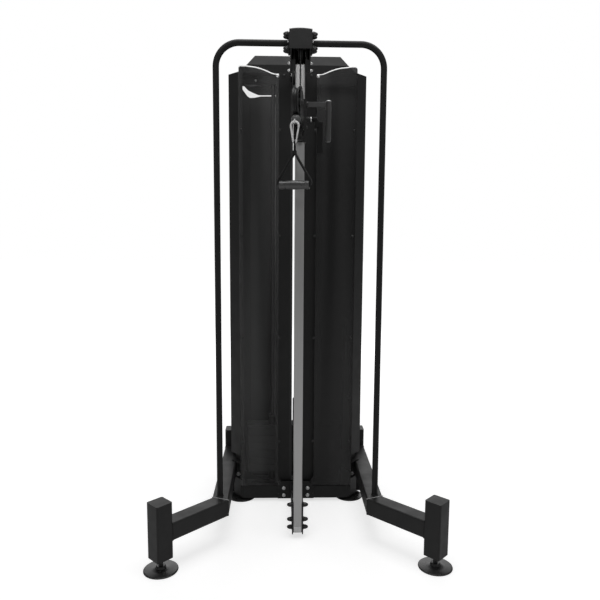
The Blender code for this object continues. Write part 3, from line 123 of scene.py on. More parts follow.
# Directions
ACROSS = (1, 0, 0)
AHEAD = (0, -1, 0)
BACK = (0, 1, 0)
UP = (0, 0, 1)

SWIVEL = Matrix.Translation((0, SWIVEL_Y, 0)) @ Matrix.Rotation(SWIVEL_TURN, 4, "Z")


# Materials

WHITE = (1, 1, 1, 1)


def fill(tree, node, inputs):
    """Set each input of a node to a value, or join an output to it."""
    for name, value in inputs.items():
        if isinstance(value, bpy.types.NodeSocket):
            tree.links.new(value, node.inputs[name])
        else:
            node.inputs[name].default_value = value


def add_node(tree, kind, output, inputs, settings):
    """Add a node and give one of its outputs."""
    node = tree.nodes.new("ShaderNode" + kind)
    for name, value in settings.items():
        setattr(node, name, value)
    fill(tree, node, inputs)
    return node.outputs[output]


class Shader:
    """A material under construction, with short ways to add its nodes."""

    def __init__(self, name):
        self.material = bpy.data.materials.new(name)
        self.material.use_nodes = True
        self.tree = self.material.node_tree
        self.coords = self.node("TexCoord", "Object")

    def node(self, kind, output, inputs=(), **settings):
        return add_node(self.tree, kind, output, dict(inputs), settings)

    def set(self, name, value):
        """Set or join an input of the surface."""
        fill(self.tree, self.tree.nodes["Principled BSDF"], {name: value})

    def noise(self, scale, detail=2.0, stretch=None, rough=0.5):
        place = self.coords
        if stretch:
            place = self.node("Mapping", "Vector", {"Vector": place, "Scale": stretch})
        inputs = {"Vector": place, "Scale": scale, "Detail": detail, "Roughness": rough}
        return self.node("TexNoise", "Fac", inputs)

    def waves(self, scale, direction, distortion):
        inputs = {"Vector": self.coords, "Scale": scale, "Distortion": distortion}
        return self.node("TexWave", "Fac", inputs, bands_direction=direction)

    def spread(self, value, low, high, to_low, to_high):
        inputs = {"Value": value, "From Min": low, "From Max": high, "To Min": to_low, "To Max": to_high}
        return self.node("MapRange", "Result", inputs)

    def maths(self, operation, first, second):
        return self.node("Math", "Value", {0: first, 1: second}, operation=operation)

    def tint(self, factor, low, high):
        """A colour between two, by the mix node's colour sockets."""
        return self.node("Mix", 2, {0: factor, 6: low, 7: high}, data_type="RGBA")

    def bump(self, height, strength, distance, normal=None):
        inputs = {"Height": height, "Strength": strength, "Distance": distance}
        if normal:
            inputs["Normal"] = normal
        self.set("Normal", self.node("Bump", "Normal", inputs))

    def bevel(self, radius):
        return self.node("Bevel", "Normal", {"Radius": radius}, samples=6)

    def edges(self, normal):
        """How far a rounded normal leans from the face, 0 on a flat, 1 on an edge."""
        inputs = {0: normal, 1: self.node("NewGeometry", "Normal")}
        flat = self.node("VectorMath", "Value", inputs, operation="DOT_PRODUCT")
        return self.spread(flat, 0.995, 0.86, 0.0, 1.0)

    def colour(self, mask, low, high):
        """A base colour that goes from one to another with a mask."""
        self.set("Base Color", self.tint(mask, low, high))

    def rough(self, mask, low, high, start=0.3, end=0.7):
        """A roughness that follows a mask."""
        self.set("Roughness", self.spread(mask, start, end, low, high))


def grey(level, warm=0.0):
    """A neutral colour, a little warmer or cooler."""
    return (level * (1 + warm), level, level * (1 - warm), 1.0)


def powder_coat(name, level, roughness=0.46, edge=0.0016, specular=0.32, wear_and_highlight_level=3.4):
    """Fine powder coat: orange peel, with faint handling marks, and paler on edges, partly as wear and
    partly as a painted highlight along every edge.
    """
    shader = Shader(name)
    rounded_normal = shader.bevel(edge)
    patches = shader.noise(7.0, 3.0)
    grain = shader.noise(210.0)
    base = shader.tint(shader.spread(patches, 0.3, 0.7, 0.0, 1.0), grey(level * 0.86), grey(level * 1.14))
    speckled = shader.tint(shader.spread(grain, 0.55, 0.75, 0.0, 0.35), base, grey(level * 1.5))
    marks = shader.spread(shader.noise(46.0, 3.0), 0.35, 0.7, 0.15, 0.8)
    # Paler edges: partly edge wear, partly a painted highlight along every edge
    edge_wear_and_highlight = shader.maths("MULTIPLY", shader.edges(rounded_normal), marks)
    shader.colour(edge_wear_and_highlight, speckled, grey(level * wear_and_highlight_level))
    shader.rough(shader.noise(18.0, 4.0), roughness - 0.05, roughness + 0.06)
    shader.bump(shader.noise(420.0), 0.07, 0.0003, rounded_normal)
    shader.set("Specular IOR Level", specular)
    return shader.material


def brushed(name, level, roughness, stretch, metallic):
    """Metal drawn or brushed along one way."""
    shader = Shader(name)
    lines = shader.noise(650.0, 3.0, stretch, 0.6)
    broad = shader.noise(3.0)
    drawn = shader.tint(lines, grey(level * 0.88, 0.004), grey(level * 1.1, 0.004))
    smudges = shader.spread(broad, 0.35, 0.7, 0.0, 0.5)
    shader.colour(smudges, drawn, grey(level * 0.92, 0.006))
    shader.rough(lines, roughness - 0.06, roughness + 0.07, 0.2, 0.8)
    shader.bump(lines, 0.12, 0.0002, shader.bevel(0.001))
    shader.set("Metallic", metallic)
    return shader.material


def plated(name, level, roughness, metallic):
    """Zinc or chrome plate with faint cloudiness."""
    shader = Shader(name)
    cloud = shader.noise(160.0, 4.0)
    shader.colour(cloud, grey(level * 0.85, 0.006), grey(level * 1.08, -0.004))
    shader.rough(cloud, roughness - 0.04, roughness + 0.08)
    shader.bump(shader.noise(700.0), 0.06, 0.0002, shader.bevel(0.0004))
    shader.set("Metallic", metallic)
    return shader.material


def moulded(name, level, roughness, grain=1100.0, depth=0.12, specular=0.5):
    """Moulded plastic or rubber with a fine grain."""
    shader = Shader(name)
    patches = shader.noise(60.0, 3.0)
    shader.colour(patches, grey(level * 0.85), grey(level * 1.2))
    shader.rough(patches, roughness - 0.05, roughness + 0.05)
    shader.bump(shader.noise(grain, 3.0), depth, 0.0004, shader.bevel(0.0006))
    shader.set("Specular IOR Level", specular)
    return shader.material


def cast_iron(name, level):
    """Rough cast plates under matt paint."""
    shader = Shader(name)
    sand = shader.noise(330.0, 5.0, rough=0.7)
    shader.colour(sand, grey(level * 0.7), grey(level * 1.4))
    shader.rough(sand, 0.55, 0.75)
    shader.bump(sand, 0.5, 0.0006, shader.bevel(0.0015))
    return shader.material


def smoked_sheet(name, level, alpha, roughness):
    """Smoked clear sheet whose colour runs in broad upright bands: painted light and shade standing in for
    the folds of the shroud behind it.
    """
    shader = Shader(name)
    fold_shade_bands = shader.spread(shader.noise(9.0, 1.5, (1.0, 1.0, 0.03)), 0.4, 0.62, 0.0, 1.0)
    cloud = shader.noise(4.0, 3.0)
    # Paler and darker upright bands: painted shade of the folds behind the sheet
    shader.colour(fold_shade_bands, grey(level * 0.55), grey(level * 1.6))
    shader.rough(cloud, roughness, roughness + 0.06)
    shader.bump(cloud, 0.03, 0.0008)
    shader.set("Alpha", alpha)
    shader.set("Specular IOR Level", 0.35)
    return shader.material


def painted_edge_glow(name):
    """The sawn and polished edge of a clear sheet, pale and glowing faintly white: a painted highlight along
    the edge.
    """
    shader = Shader(name)
    saw = shader.noise(500.0, 2.0, (1.0, 0.1, 1.0))
    shader.colour(saw, grey(0.62), grey(0.92))
    shader.rough(saw, 0.16, 0.32)
    shader.bump(saw, 0.1, 0.0002)
    # The white glow is a painted highlight; the edge is no lamp
    shader.set("Emission Color", WHITE)
    shader.set("Emission Strength", 0.5)
    return shader.material


def webbing(name, level):
    """Woven nylon: ribs across, a fine twill between them, and slight fuzz."""
    shader = Shader(name)
    ribs = shader.waves(330.0, "Z", 0.4)
    twill = shader.spread(shader.waves(420.0, "DIAGONAL", 0.6), 0.0, 1.0, 0.55, 1.0)
    weave = shader.maths("MULTIPLY", ribs, twill)
    fuzz = shader.noise(900.0, 3.0)
    cloth = shader.tint(weave, grey(level * 0.55), grey(level * 1.35))
    shader.colour(shader.spread(fuzz, 0.55, 0.8, 0.0, 0.35), cloth, grey(level * 2.2))
    shader.rough(fuzz, 0.78, 0.95)
    shader.bump(weave, 0.5, 0.0005)
    return shader.material


def sheathed_cable(name):
    """Nylon-sheathed wire rope: the strands show faintly through."""
    shader = Shader(name)
    lay = shader.waves(260.0, "DIAGONAL", 0.2)
    shader.colour(lay, grey(0.018), grey(0.03))
    shader.rough(shader.noise(300.0), 0.28, 0.42)
    shader.bump(lay, 0.2, 0.0003)
    return shader.material


ALONG_Z = (1.0, 1.0, 0.012)
ROD_GRAIN = (1.0, 1.0, 0.02)
ALONG_X = (0.02, 1.0, 1.0)

PAINT = powder_coat("paint_black", 0.016)
TOWER_PAINT = powder_coat("paint_tower", 0.014, roughness=0.5)
INNER_PAINT = powder_coat("paint_inside", 0.022, roughness=0.5)
HEAD_PAINT = powder_coat("paint_head", 0.024)
ARCH_PAINT = powder_coat("paint_arch", 0.015, roughness=0.52, specular=0.27, wear_and_highlight_level=2.0)
HAND_PAINT = powder_coat("paint_hand_parts", 0.058, specular=0.6)
# Pale grey for the knee beads: a painted highlight, not the colour of a seam
KNEE_HIGHLIGHT_PAINT = powder_coat("paint_knee_highlight", 0.42, roughness=0.4, wear_and_highlight_level=1.5)
BLACK_ZINC = powder_coat("black_plate", 0.02, roughness=0.3, edge=0.0006, specular=0.5, wear_and_highlight_level=3.0)
COLUMN_STEEL = brushed("steel_column", 0.5, 0.34, ALONG_Z, 0.85)
ROD_STEEL = brushed("steel_rod", 0.08, 0.34, ROD_GRAIN, 0.8)
AXLE_STEEL = brushed("steel_axle", 0.62, 0.28, ALONG_X, 0.6)
ZINC = plated("zinc_plate", 0.86, 0.24, 0.45)
# Chrome made near-white and almost non-metallic: its brightness is a painted reflection
CHROME_PAINTED_REFLECTION = plated("chrome_painted_reflection", 0.92, 0.3, 0.04)
INSERT = moulded("insert_pale", 0.85, 0.4)
PLASTIC = moulded("pulley_nylon", 0.014, 0.38)
SOFT_PLASTIC = moulded("bush_plastic", 0.035, 0.5)
RUBBER = moulded("rubber_black", 0.018, 0.62, grain=800.0)
GRIP_RUBBER = moulded("grip_rubber", 0.05, 0.3, grain=900.0, depth=0.04, specular=0.9)
BALL_RUBBER = moulded("ball_rubber", 0.095, 0.46, grain=700.0)
PIN_HEAD = moulded("pin_head", 0.02, 0.35)
LEVER_BLACK = moulded("lever_black", 0.007, 0.62, specular=0.25)
THREAD = moulded("strap_thread", 0.06, 0.8)
IRON = cast_iron("iron_plates", 0.024)
SMOKED_LEFT = smoked_sheet("sheet_clear_left", 0.2, 0.12, 0.22)
# The right cover is the same sheet as the left, made dark and nearly opaque: painted shade
SHEET_RIGHT_PAINTED_SHADE = smoked_sheet("sheet_right_painted_shade", 0.024, 0.84, 0.26)
# Pale, glowing strip on the covers' top edges: painted highlight
SHEET_EDGE_GLOW = painted_edge_glow("sheet_edge_painted_highlight")
WEBBING = webbing("strap_webbing", 0.01)
CABLE = sheathed_cable("cable_sheath")


# Shapes

def merged(meshes):
    """One bmesh that holds several."""
    whole = bmesh.new()
    for mesh in meshes:
        data = bpy.data.meshes.new("scrap")
        mesh.to_mesh(data)
        mesh.free()
        whole.from_mesh(data)
        bpy.data.meshes.remove(data)
    return whole


def in_scene(name, data):
    """A new object in the scene."""
    thing = bpy.data.objects.new(name, data)
    bpy.context.scene.collection.objects.link(thing)
    return thing


def object_of(name, mesh, material):
    """A mesh object with its material, shaded smooth across gentle edges."""
    bmesh.ops.recalc_face_normals(mesh, faces=mesh.faces)
    data = bpy.data.meshes.new(name)
    mesh.to_mesh(data)
    mesh.free()
    data.shade_smooth()
    data.set_sharp_from_angle(angle=math.radians(35))
    data.materials.append(material)
    return in_scene(name, data)


def piece(name, mesh, material, body, slot, replaced=()):
    """A piece that rides on a body."""
    thing = object_of(name, mesh, material)
    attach(thing, body)
    if replaced:
        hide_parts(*replaced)
    return thing


def moved(mesh, matrix):
    """The mesh, moved."""
    bmesh.ops.transform(mesh, matrix=matrix, verts=mesh.verts)
    return mesh


def facing(place, axis):
    """The matrix that puts a shape made along +Z at a place, facing an axis."""
    turn = Vector(UP).rotation_difference(Vector(axis)).to_matrix().to_4x4()
    return Matrix.Translation(place) @ turn


def lathe(profile, centre=(0, 0, 0), axis=UP, sides=40):
    """A profile of (radius, height) points turned about an axis through a point."""
    mesh = bmesh.new()
    points = [mesh.verts.new((radius, 0, height)) for radius, height in profile]
    edges = [mesh.edges.new(pair) for pair in zip(points, points[1:])]
    if profile[0][0] > 0:
        edges.append(mesh.edges.new((points[-1], points[0])))
    bmesh.ops.spin(mesh, geom=points + edges, axis=UP, angle=2 * math.pi, steps=sides, use_merge=True)
    bmesh.ops.remove_doubles(mesh, verts=mesh.verts, dist=1e-6)
    return moved(mesh, facing(centre, axis))


def skin(rings, closed=False):
    """Faces between rings of points, capped at both ends unless the rings close on themselves."""
    mesh = bmesh.new()
    loops = [[mesh.verts.new(point) for point in ring] for ring in rings]
    pairs = list(zip(loops, loops[1:]))
    if closed:
        pairs.append((loops[-1], loops[0]))
    for here, there in pairs:
        for step in range(len(here)):
            after = (step + 1) % len(here)
            mesh.faces.new((here[step], here[after], there[after], there[step]))
    if not closed:
        mesh.faces.new(loops[0])
        mesh.faces.new(loops[-1])
    return mesh


def heading(line, index, closed=False):
    """The way that a line of points goes at one of them."""
    count = len(line)
    before = line[index - 1] if index or closed else line[index]
    after = line[(index + 1) % count] if index < count - 1 or closed else line[index]
    return (after - before).normalized()


def arc(centre, radius, start, end, steps):
    """Points of an arc, angles in degrees."""
    angles = [math.radians(start + (end - start) * step / steps) for step in range(steps + 1)]
    return [(centre[0] + radius * math.cos(angle), centre[1] + radius * math.sin(angle)) for angle in angles]


def circle(radius, count, centre=(0, 0)):
    """Points round a circle."""
    return arc(centre, radius, 0, 360 - 360 / count, count - 1)


def tube(path, radius, sides=16, closed=False):
    """A round bar along a line of points, with one radius or one for each point."""
    line = [Vector(point) for point in path]
    radii = radius if isinstance(radius, list) else [radius] * len(line)
    rings = []
    side = None
    for index, point in enumerate(line):
        along = heading(line, index, closed)
        if side is None:
            side = along.orthogonal().normalized()
        side = (side - along * side.dot(along)).normalized()
        other = along.cross(side)
        rings.append([point + side * u + other * v for u, v in circle(radii[index], sides)])
    return skin(rings, closed)


# The turns that carry +Z to an axis: outlines read (y, z), (x, z) or (x, y)
TURNS = {"X": Matrix(((0, 0, 1), (1, 0, 0), (0, 1, 0))).to_4x4(),
         "Y": Matrix(((1, 0, 0), (0, 0, 1), (0, 1, 0))).to_4x4(),
         "Z": Matrix.Identity(4)}


def soften(mesh, width, segments=2):
    """Round the sharp edges of a mesh."""
    bmesh.ops.recalc_face_normals(mesh, faces=mesh.faces)
    sharp = [edge for edge in mesh.edges if edge.is_manifold and edge.calc_face_angle(0) > math.radians(30)]
    bmesh.ops.bevel(mesh, geom=sharp, offset=width, segments=segments, affect="EDGES", clamp_overlap=True)
    return mesh


def prism(outline, low, high, axis="Z", bevel=0):
    """A closed outline extruded along an axis, with rounded edges."""
    mesh = skin([[(u, v, level) for u, v in outline] for level in (low, high)])
    moved(mesh, TURNS[axis])
    if bevel:
        soften(mesh, bevel)
    return mesh


def plate(wide, tall, deep, side=1, bevel=0):
    """An upright plate, from its spans in X, Z and Y. The side mirrors it."""
    left, right = (side * x for x in wide)
    low, high = tall
    return prism([(left, low), (right, low), (right, high), (left, high)], *deep, "Y", bevel)


def dome(radius, low, rise, end, steps):
    """The (radius, height) points up a dome's flank, from its foot to an angle in degrees."""
    return [(radius * u, low + rise * v) for u, v in arc((0, 0), 1, 0, end, steps)]


def mirrored(right, between=()):
    """A lathe profile from its right half, with what lies between the halves."""
    return [(radius, -height) for radius, height in reversed(right)] + list(between) + right


def rounded(width, height, radius, centre=(0, 0), steps=5):
    """The outline of a rectangle with rounded corners."""
    points = []
    for side_u, side_v, start in ((1, 1, 0), (-1, 1, 90), (-1, -1, 180), (1, -1, 270)):
        corner = (centre[0] + side_u * (width / 2 - radius), centre[1] + side_v * (height / 2 - radius))
        points += arc(corner, radius, start, start + 90, steps)
    return points


def smooth_line(points, steps):
    """A Catmull-Rom curve through points of any dimension."""
    line = [Vector(point) for point in points]
    line = [2 * line[0] - line[1]] + line + [2 * line[-1] - line[-2]]
    result = []
    for first, second, third, fourth in zip(line, line[1:], line[2:], line[3:]):
        for step in range(steps):
            t = step / steps
            result.append(0.5 * (2 * second + (third - first) * t
                                 + (2 * first - 5 * second + 4 * third - fourth) * t * t
                                 + (3 * second - first - 3 * third + fourth) * t ** 3))
    result.append(line[-2])
    return result


def hexagon(across):
    """A hexagon's outline from its width across the flats."""
    return circle(across / 2 / math.cos(math.pi / 6), 6)


def hex_nut(place, axis, across, height):
    """A hexagonal nut with a turned face."""
    body = prism(hexagon(across), 0.0, height, bevel=across * 0.035)
    low = height - 0.0002
    high = height + 0.0005
    collar = lathe([(0, low), (across * 0.43, low), (across * 0.41, high), (0, high)], sides=28)
    return moved(merged([body, collar]), facing(place, axis))


def dome_nut(place, axis, across, height, reach):
    """An acorn nut on a washer."""
    edge = across * 0.66
    washer = lathe([(0, 0), (edge, 0), (across * 0.68, 0.0004), (edge, 0.0013), (0, 0.0013)], sides=28)
    body = prism(hexagon(across), 0.0012, height, bevel=across * 0.04)
    radius = across * 0.45
    flank = dome(radius, height, reach - height, 90, 8)[:-1]
    cap = lathe([(0, height - 0.001), (radius, height - 0.001)] + flank + [(0, reach)], sides=28)
    return moved(merged([washer, body, cap]), facing(place, axis))


def button_screw(place, axis, radius, height):
    """A button-head screw with a round socket."""
    end = 180 / 2.6
    flank = dome(radius, 0.0004, height / math.sin(math.radians(end)), end, 7)
    socket = radius * 0.42
    top = flank[-1][1]
    profile = [(0, -0.0003), (radius, -0.0003)] + flank
    profile += [(socket * 1.05, top), (socket, top - 0.0003), (socket, height * 0.35), (0, height * 0.3)]
    return lathe(profile, place, axis, 24)


def spaced_nut(side, x, y, z, thickness, across, height, reach):
    """A dome nut on a round spacer, on one side of the machine."""
    out = (side, 0, 0)
    radius = 0.0105
    profile = [(0, 0), (radius, 0), (radius, thickness), (0, thickness)]
    nut = dome_nut((side * (x + thickness), y, z), out, across, height, reach)
    return merged([lathe(profile, (side * x, y, z), out, 28), nut])


def bead(path, radius, closed=True):
    """A weld bead with the ripple that the torch leaves."""
    line = [Vector(point) for point in path]
    if closed:
        line.append(line[0])
    dense = []
    spacing = 0.0022
    for start, end in zip(line, line[1:]):
        count = max(1, round((end - start).length / spacing))
        dense += [start.lerp(end, k / count) for k in range(count)]
    if not closed:
        dense.append(line[-1])
    radii = [radius * (1 + 0.13 * math.sin(index * 2.1) + 0.06 * math.sin(index * 0.37 + 1.3))
             for index in range(len(dense))]
    return tube(dense, radii, 8, closed)


# The CAD nodes that stay, with their materials

def dress(material, *names):
    """Give CAD nodes a material."""
    for name in names:
        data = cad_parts[name].data
        data.materials.clear()
        data.materials.append(material)


def both(*stems):
    """The left and the right name of each stem."""
    return [f"{stem}_{side}" for stem in stems for side in ("left", "right")]


dress(PAINT, "rear_crossbar", "carriage", *both("leg"))
dress(TOWER_PAINT, "tower_base", "header", "top_beam", "lower_bracket", *both("corner_post", "inner_post"))
dress(INNER_PAINT, *both("rear_shroud"))
dress(HEAD_PAINT, "head_bracket")
dress(BLACK_ZINC, "pulley_fork")
dress(SOFT_PLASTIC, "slide_bush")
dress(RUBBER, *both("bumper"))
dress(IRON, "stack_carrier", *[f"weight_plate_{number}" for number in range(1, 7)])
dress(SMOKED_LEFT, "front_cover_left")
dress(SHEET_RIGHT_PAINTED_SHADE, "front_cover_right")


# Legs: weld beads

def leg_welds(side):
    """Beads round the arm at both posts, along the mitre and round the arch's foot."""
    half = LEG_HALF + 0.0002
    outline = rounded(2 * half, 2 * half, 0.006, (0, ARM_TOP - LEG_HALF), 3)
    way = Vector((-side * math.sqrt(0.5), math.sqrt(0.5), 0))
    across = Vector((way.y, -way.x, 0))
    start = Vector((side * FRONT_POST[0], FRONT_POST[1], 0)) + way * (LEG_HALF + 0.0006)
    front = bead([start + across * u + Vector((0, 0, v)) for u, v in outline], 0.0021)
    rear_y = REAR_POST_Y - LEG_HALF - 0.0006
    rear = bead([(side * LEG_X + u, rear_y, v) for u, v in outline], 0.0021)
    slant = math.tan(math.pi / 8)
    knee = bead([(side * (LEG_X + u), KNEE_Y + slant * u, v) for u, v in outline], 0.0011)
    foot = circle(ARCH_RADIUS + 0.0006, 24, (side * ARCH_X, ARCH_Y))
    ring = bead([(x, y, ARM_TOP + 0.0008) for x, y in foot], 0.0026)
    return merged([front, rear, knee, ring])


def knee_highlight_beads():
    """A pale bead across the top of each knee: a painted highlight along the mitre's top edge."""
    highlight_beads = []
    for side in (-1, 1):
        knee = Vector((side * LEG_X, KNEE_Y, ARM_TOP + 0.0002))
        reach = Vector((side * 0.0395, 0.016353, 0))
        highlight_beads.append(bead([knee - reach, knee + reach], 0.0017, False))
    return merged(highlight_beads)


# Arch

def arch_mesh(side):
    """A bent round tube and the flange that it ends in."""
    path = [(ARCH_X, ARM_TOP)] + arc((ARCH_X - ARCH_BEND, ARCH_TOP - ARCH_BEND), ARCH_BEND, 0, 90, 28)
    path.append((FLANGE_FACE - 0.0008, ARCH_TOP))
    pipe = tube([(side * x, ARCH_Y, z) for x, z in path], ARCH_RADIUS, 40)
    flange = rounded(0.062, 0.081, 0.008, (ARCH_Y, FLANGE_Z))
    low, high = sorted((side * HEAD_SIDE, side * FLANGE_FACE))
    return merged([pipe, prism(flange, low, high, "X", 0.001)])


# Levelling feet

def foot_mesh(x, y, hub_top, stud_top):
    """A pressed disc with a rolled rim, a hub and a threaded stud."""
    profile = [(0, 0.0), (0.069, 0.0), (0.0708, 0.0008), (0.0715, 0.0025), (0.071, 0.0044),
               (0.0696, 0.0056), (0.066, 0.0062), (0.042, 0.0082), (0.024, 0.0098)]
    if hub_top > 0.015:
        profile += [(0.0208, 0.0116), (0.0197, 0.015), (0.019, hub_top - 0.0012), (0.0178, hub_top)]
    else:
        profile += [(0.019, 0.0104), (0.0178, hub_top)]
    stud = 0.0098
    pitch = 0.0025
    height = hub_top
    profile.append((stud, height))
    while height + pitch < stud_top:
        profile += [(stud, height + 0.0006), (0.009, height + 0.0018), (stud, height + pitch)]
        height += pitch
    profile += [(stud, stud_top), (0, stud_top)]
    return lathe(profile, (x, y, 0), sides=72)


# Pulleys

def pulley_mesh(groove, width, centre, axis=ACROSS):
    """A grooved wheel with a thin web, a hub and a bearing seat."""
    rim = groove + PULLEY_RIM
    half = width / 2
    web = 0.0042
    bowl = [(groove - u, v * 1.05) for u, v in arc((0, 0), CABLE_RADIUS + 0.0002, -70, 70, 7)]
    right = [(rim, half - 0.0012), (rim - 0.0009, half), (rim - 0.0075, half), (rim - 0.0092, half - 0.0012),
             (rim - 0.0105, web + 0.0008), (rim - 0.012, web), (0.0215, web), (0.02, web + 0.0008),
             (0.019, half - 0.001), (0.0178, half), (0.0062, half)]
    return lathe(mirrored(right, bowl), centre, axis, 72)


def bearing_mesh(width, centre, axis=ACROSS):
    """The bright faces of a pulley's bearing."""
    section = [(0.0056, -0.002), (0.0118, -0.002), (0.0118, 0.0003), (0.01, 0.0003),
               (0.0094, -0.0006), (0.0078, -0.0006), (0.0072, 0.0003), (0.0056, 0.0003)]
    faces = []
    for side in (-1, 1):
        profile = [(radius, side * (width / 2 + height)) for radius, height in section]
        faces.append(lathe(profile, centre, axis, 36))
    return merged(faces)


# Handle: meshes with X across the fork and -Y ahead of it, which SWIVEL carries to their place

def handle_line(along):
    """A place on the straight cable: its reach ahead of the swivel and its height."""
    reach = CARRIAGE_PULLEY * (1 - math.sin(SLOPE)) + along * math.cos(SLOPE)
    return reach, CARRIAGE_PULLEY_Z - CARRIAGE_PULLEY * math.cos(SLOPE) - along * math.sin(SLOPE)


def in_fork(reach, height):
    """A place ahead of the swivel, carried to the machine."""
    return SWIVEL @ Vector((0, -reach, height))


CLEAR_OF_PULLEY = CARRIAGE_PULLEY + PULLEY_RIM + BALL_RADIUS
BALL_ALONG = math.sqrt(CLEAR_OF_PULLEY ** 2 - CARRIAGE_PULLEY ** 2) + 0.0005
BALL_AT = handle_line(BALL_ALONG)
EYE_AT = handle_line(BALL_ALONG + BALL_RADIUS + EYE_RADIUS - 0.001)
HANG = EYE_AT[0]
CABLE_WAY = Vector((0, -math.cos(SLOPE), -math.sin(SLOPE)))


def ball_mesh():
    """A rubber ball with a moulded seam round its middle."""
    flank = arc((0, 0), BALL_RADIUS, -84, 84, 28)
    sunk = 1 - 0.0003 / BALL_RADIUS
    flank[13:16] = [(u * sunk, v * sunk) for u, v in flank[13:16]]
    profile = [(0, -BALL_RADIUS)] + flank + [(0, BALL_RADIUS)]
    return lathe(profile, (0, -BALL_AT[0], BALL_AT[1]), CABLE_WAY, 56)


def eye_mesh():
    """The wire eye and the ferrule in front of the ball."""
    centre = Vector((0, -EYE_AT[0], EYE_AT[1]))
    ring = [(0, y, z) for y, z in circle(EYE_RADIUS, 40, (centre.y, centre.z))]
    ferrule = [(0, 0), (0.0058, 0), (0.0058, 0.0022), (0.0042, 0.0034), (0.0036, 0.0078), (0, 0.0078)]
    neck = lathe(ferrule, centre - CABLE_WAY * (EYE_RADIUS + 0.0065), CABLE_WAY, 28)
    return merged([tube(ring, EYE_WIRE, 16, True), neck])


def carabiner_points():
    """The hook's wire line and its gate's ends, in the plane across the fork."""
    wide = 0.016
    narrow = 0.0065
    top = EYE_AT[1] - (EYE_RADIUS - EYE_WIRE - CARABINER_WIRE) + 0.0003
    upper = (0, top - wide)
    lower = (0, CARABINER_LOW + narrow)
    lean = math.asin((wide - narrow) / (upper[1] - lower[1]))
    outward = Vector((math.cos(lean), -math.sin(lean)))
    low_end = Vector(lower) + narrow * outward
    high_end = Vector(upper) + wide * outward
    way = (high_end - low_end).normalized()
    gate = (low_end + 0.007 * way, high_end - 0.0045 * way)
    lean = math.degrees(lean)
    line = [tuple(gate[0] - 0.0016 * way)]
    line += arc(lower, narrow, -lean, lean - 180, 16)
    line += arc(upper, wide, 180 + lean, -lean, 26)
    line.append(tuple(gate[1] + 0.0005 * way))
    return line, gate


def carabiner_mesh():
    """The bent wire of the hook."""
    line, _ = carabiner_points()
    return tube([(u, -HANG, v) for u, v in line], CARABINER_WIRE, 20)


def gate_mesh():
    """The gate: a thinner bar, its hinge rivet and the pin of its nose."""
    _, gate = carabiner_points()
    low, high = (Vector((end.x, -HANG, end.y)) for end in gate)
    along = (high - low).normalized()
    length = (high - low).length
    profile = [(0, 0), (0.0024, 0), (0.0031, 0.001), (0.0031, 0.003), (0.0034, 0.0036),
               (0.0034, length - 0.006), (0.0029, length - 0.005), (0.0029, length - 0.0008),
               (0.0022, length), (0, length)]
    parts = [lathe(profile, low, along, 24)]
    for place, radius in ((low + along * 0.0024, 0.0013), (high - along * 0.0028, 0.0011)):
        right = [(radius * 1.3, 0.0038), (radius, 0.0042), (0, 0.0042)]
        parts.append(lathe(mirrored(right), place, BACK, 16))
    return merged(parts)


def band(path, width, thickness):
    """Flat webbing along a line in the plane across the fork, with soft edges."""
    line = [Vector(point) for point in path]
    section = rounded(width, thickness, thickness * 0.42, steps=3)
    rings = []
    for index, point in enumerate(line):
        along = heading(line, index)
        rings.append([(point.x - along.y * v, -HANG + u, point.y + along.x * v) for u, v in section])
    return skin(rings)


def strap_mesh():
    """One band through the grip and up to the neck, and the doubled neck."""
    end = GRIP_HALF + 0.001
    leg = [(0.0024, STRAP_SPLIT + 0.01), (0.0034, STRAP_SPLIT - 0.001), (0.01, STRAP_SPLIT - 0.014),
           (0.033, STRAP_SPLIT - 0.052), (0.056, STRAP_SPLIT - 0.09), (end - 0.003, 1.5925),
           (end + 0.0003, 1.583), (end - 0.001, 1.5735), (end - 0.008, GRIP_Z), (0.03, GRIP_Z),
           (0, GRIP_Z)]
    curve = smooth_line(leg, 5)
    left = [(-point.x, point.y) for point in curve]
    right = [(point.x, point.y) for point in reversed(curve[:-1])]
    neck = [(0, STRAP_SPLIT + 0.001), (0, STRAP_SPLIT + 0.012), (0, CARABINER_LOW - 0.008)]
    return merged([band(left + right, 0.0236, 0.0084), band(neck, 0.017, 0.0072)])


def strap_loop_mesh():
    """The strap's small loop round the hook's wire."""
    section = rounded(0.015, 0.0022, 0.0009, steps=3)
    centre = Vector((0, -HANG, CARABINER_LOW - 0.0012))
    radius = 0.0072
    narrowing = 0.42
    rings = []
    for y, z in circle(1, 40):
        outward = Vector((0, y, z))
        rings.append([centre + outward * (radius + v) + Vector((u * narrowing, 0, 0)) for u, v in section])
    return skin(rings, closed=True)


def stitch_mesh():
    """Rows of stitches on the strap's neck."""
    stitches = []
    for sign in (-1, 1):
        for row in (-HANG - 0.0058, -HANG + 0.0058):
            for step in range(7):
                z = STRAP_SPLIT + 0.0055 + step * 0.0034
                sunk = sign * 0.0034
                thread = [(sunk, row, z), (sign * 0.0039, row, z + 0.0011), (sunk, row, z + 0.0022)]
                stitches.append(tube(thread, 0.0004, 6))
    return merged(stitches)


def grip_mesh():
    """A contoured tube with a collar at each end."""
    half = GRIP_HALF - 0.0045
    right = [(0.01835, 0.006), (0.018, 0.014), (0.01745, 0.022), (0.01675, 0.03), (0.0161, 0.038),
             (0.016, 0.0445), (0.0166, 0.048), (0.0176, 0.05), (0.0177, half - 0.002),
             (0.0172, half - 0.0004), (0.0165, half), (0.0139, half)]
    return lathe(mirrored(right, [(0.0184, 0)]), (0, -HANG, GRIP_Z), ACROSS, 56)


# Carriage's hand parts

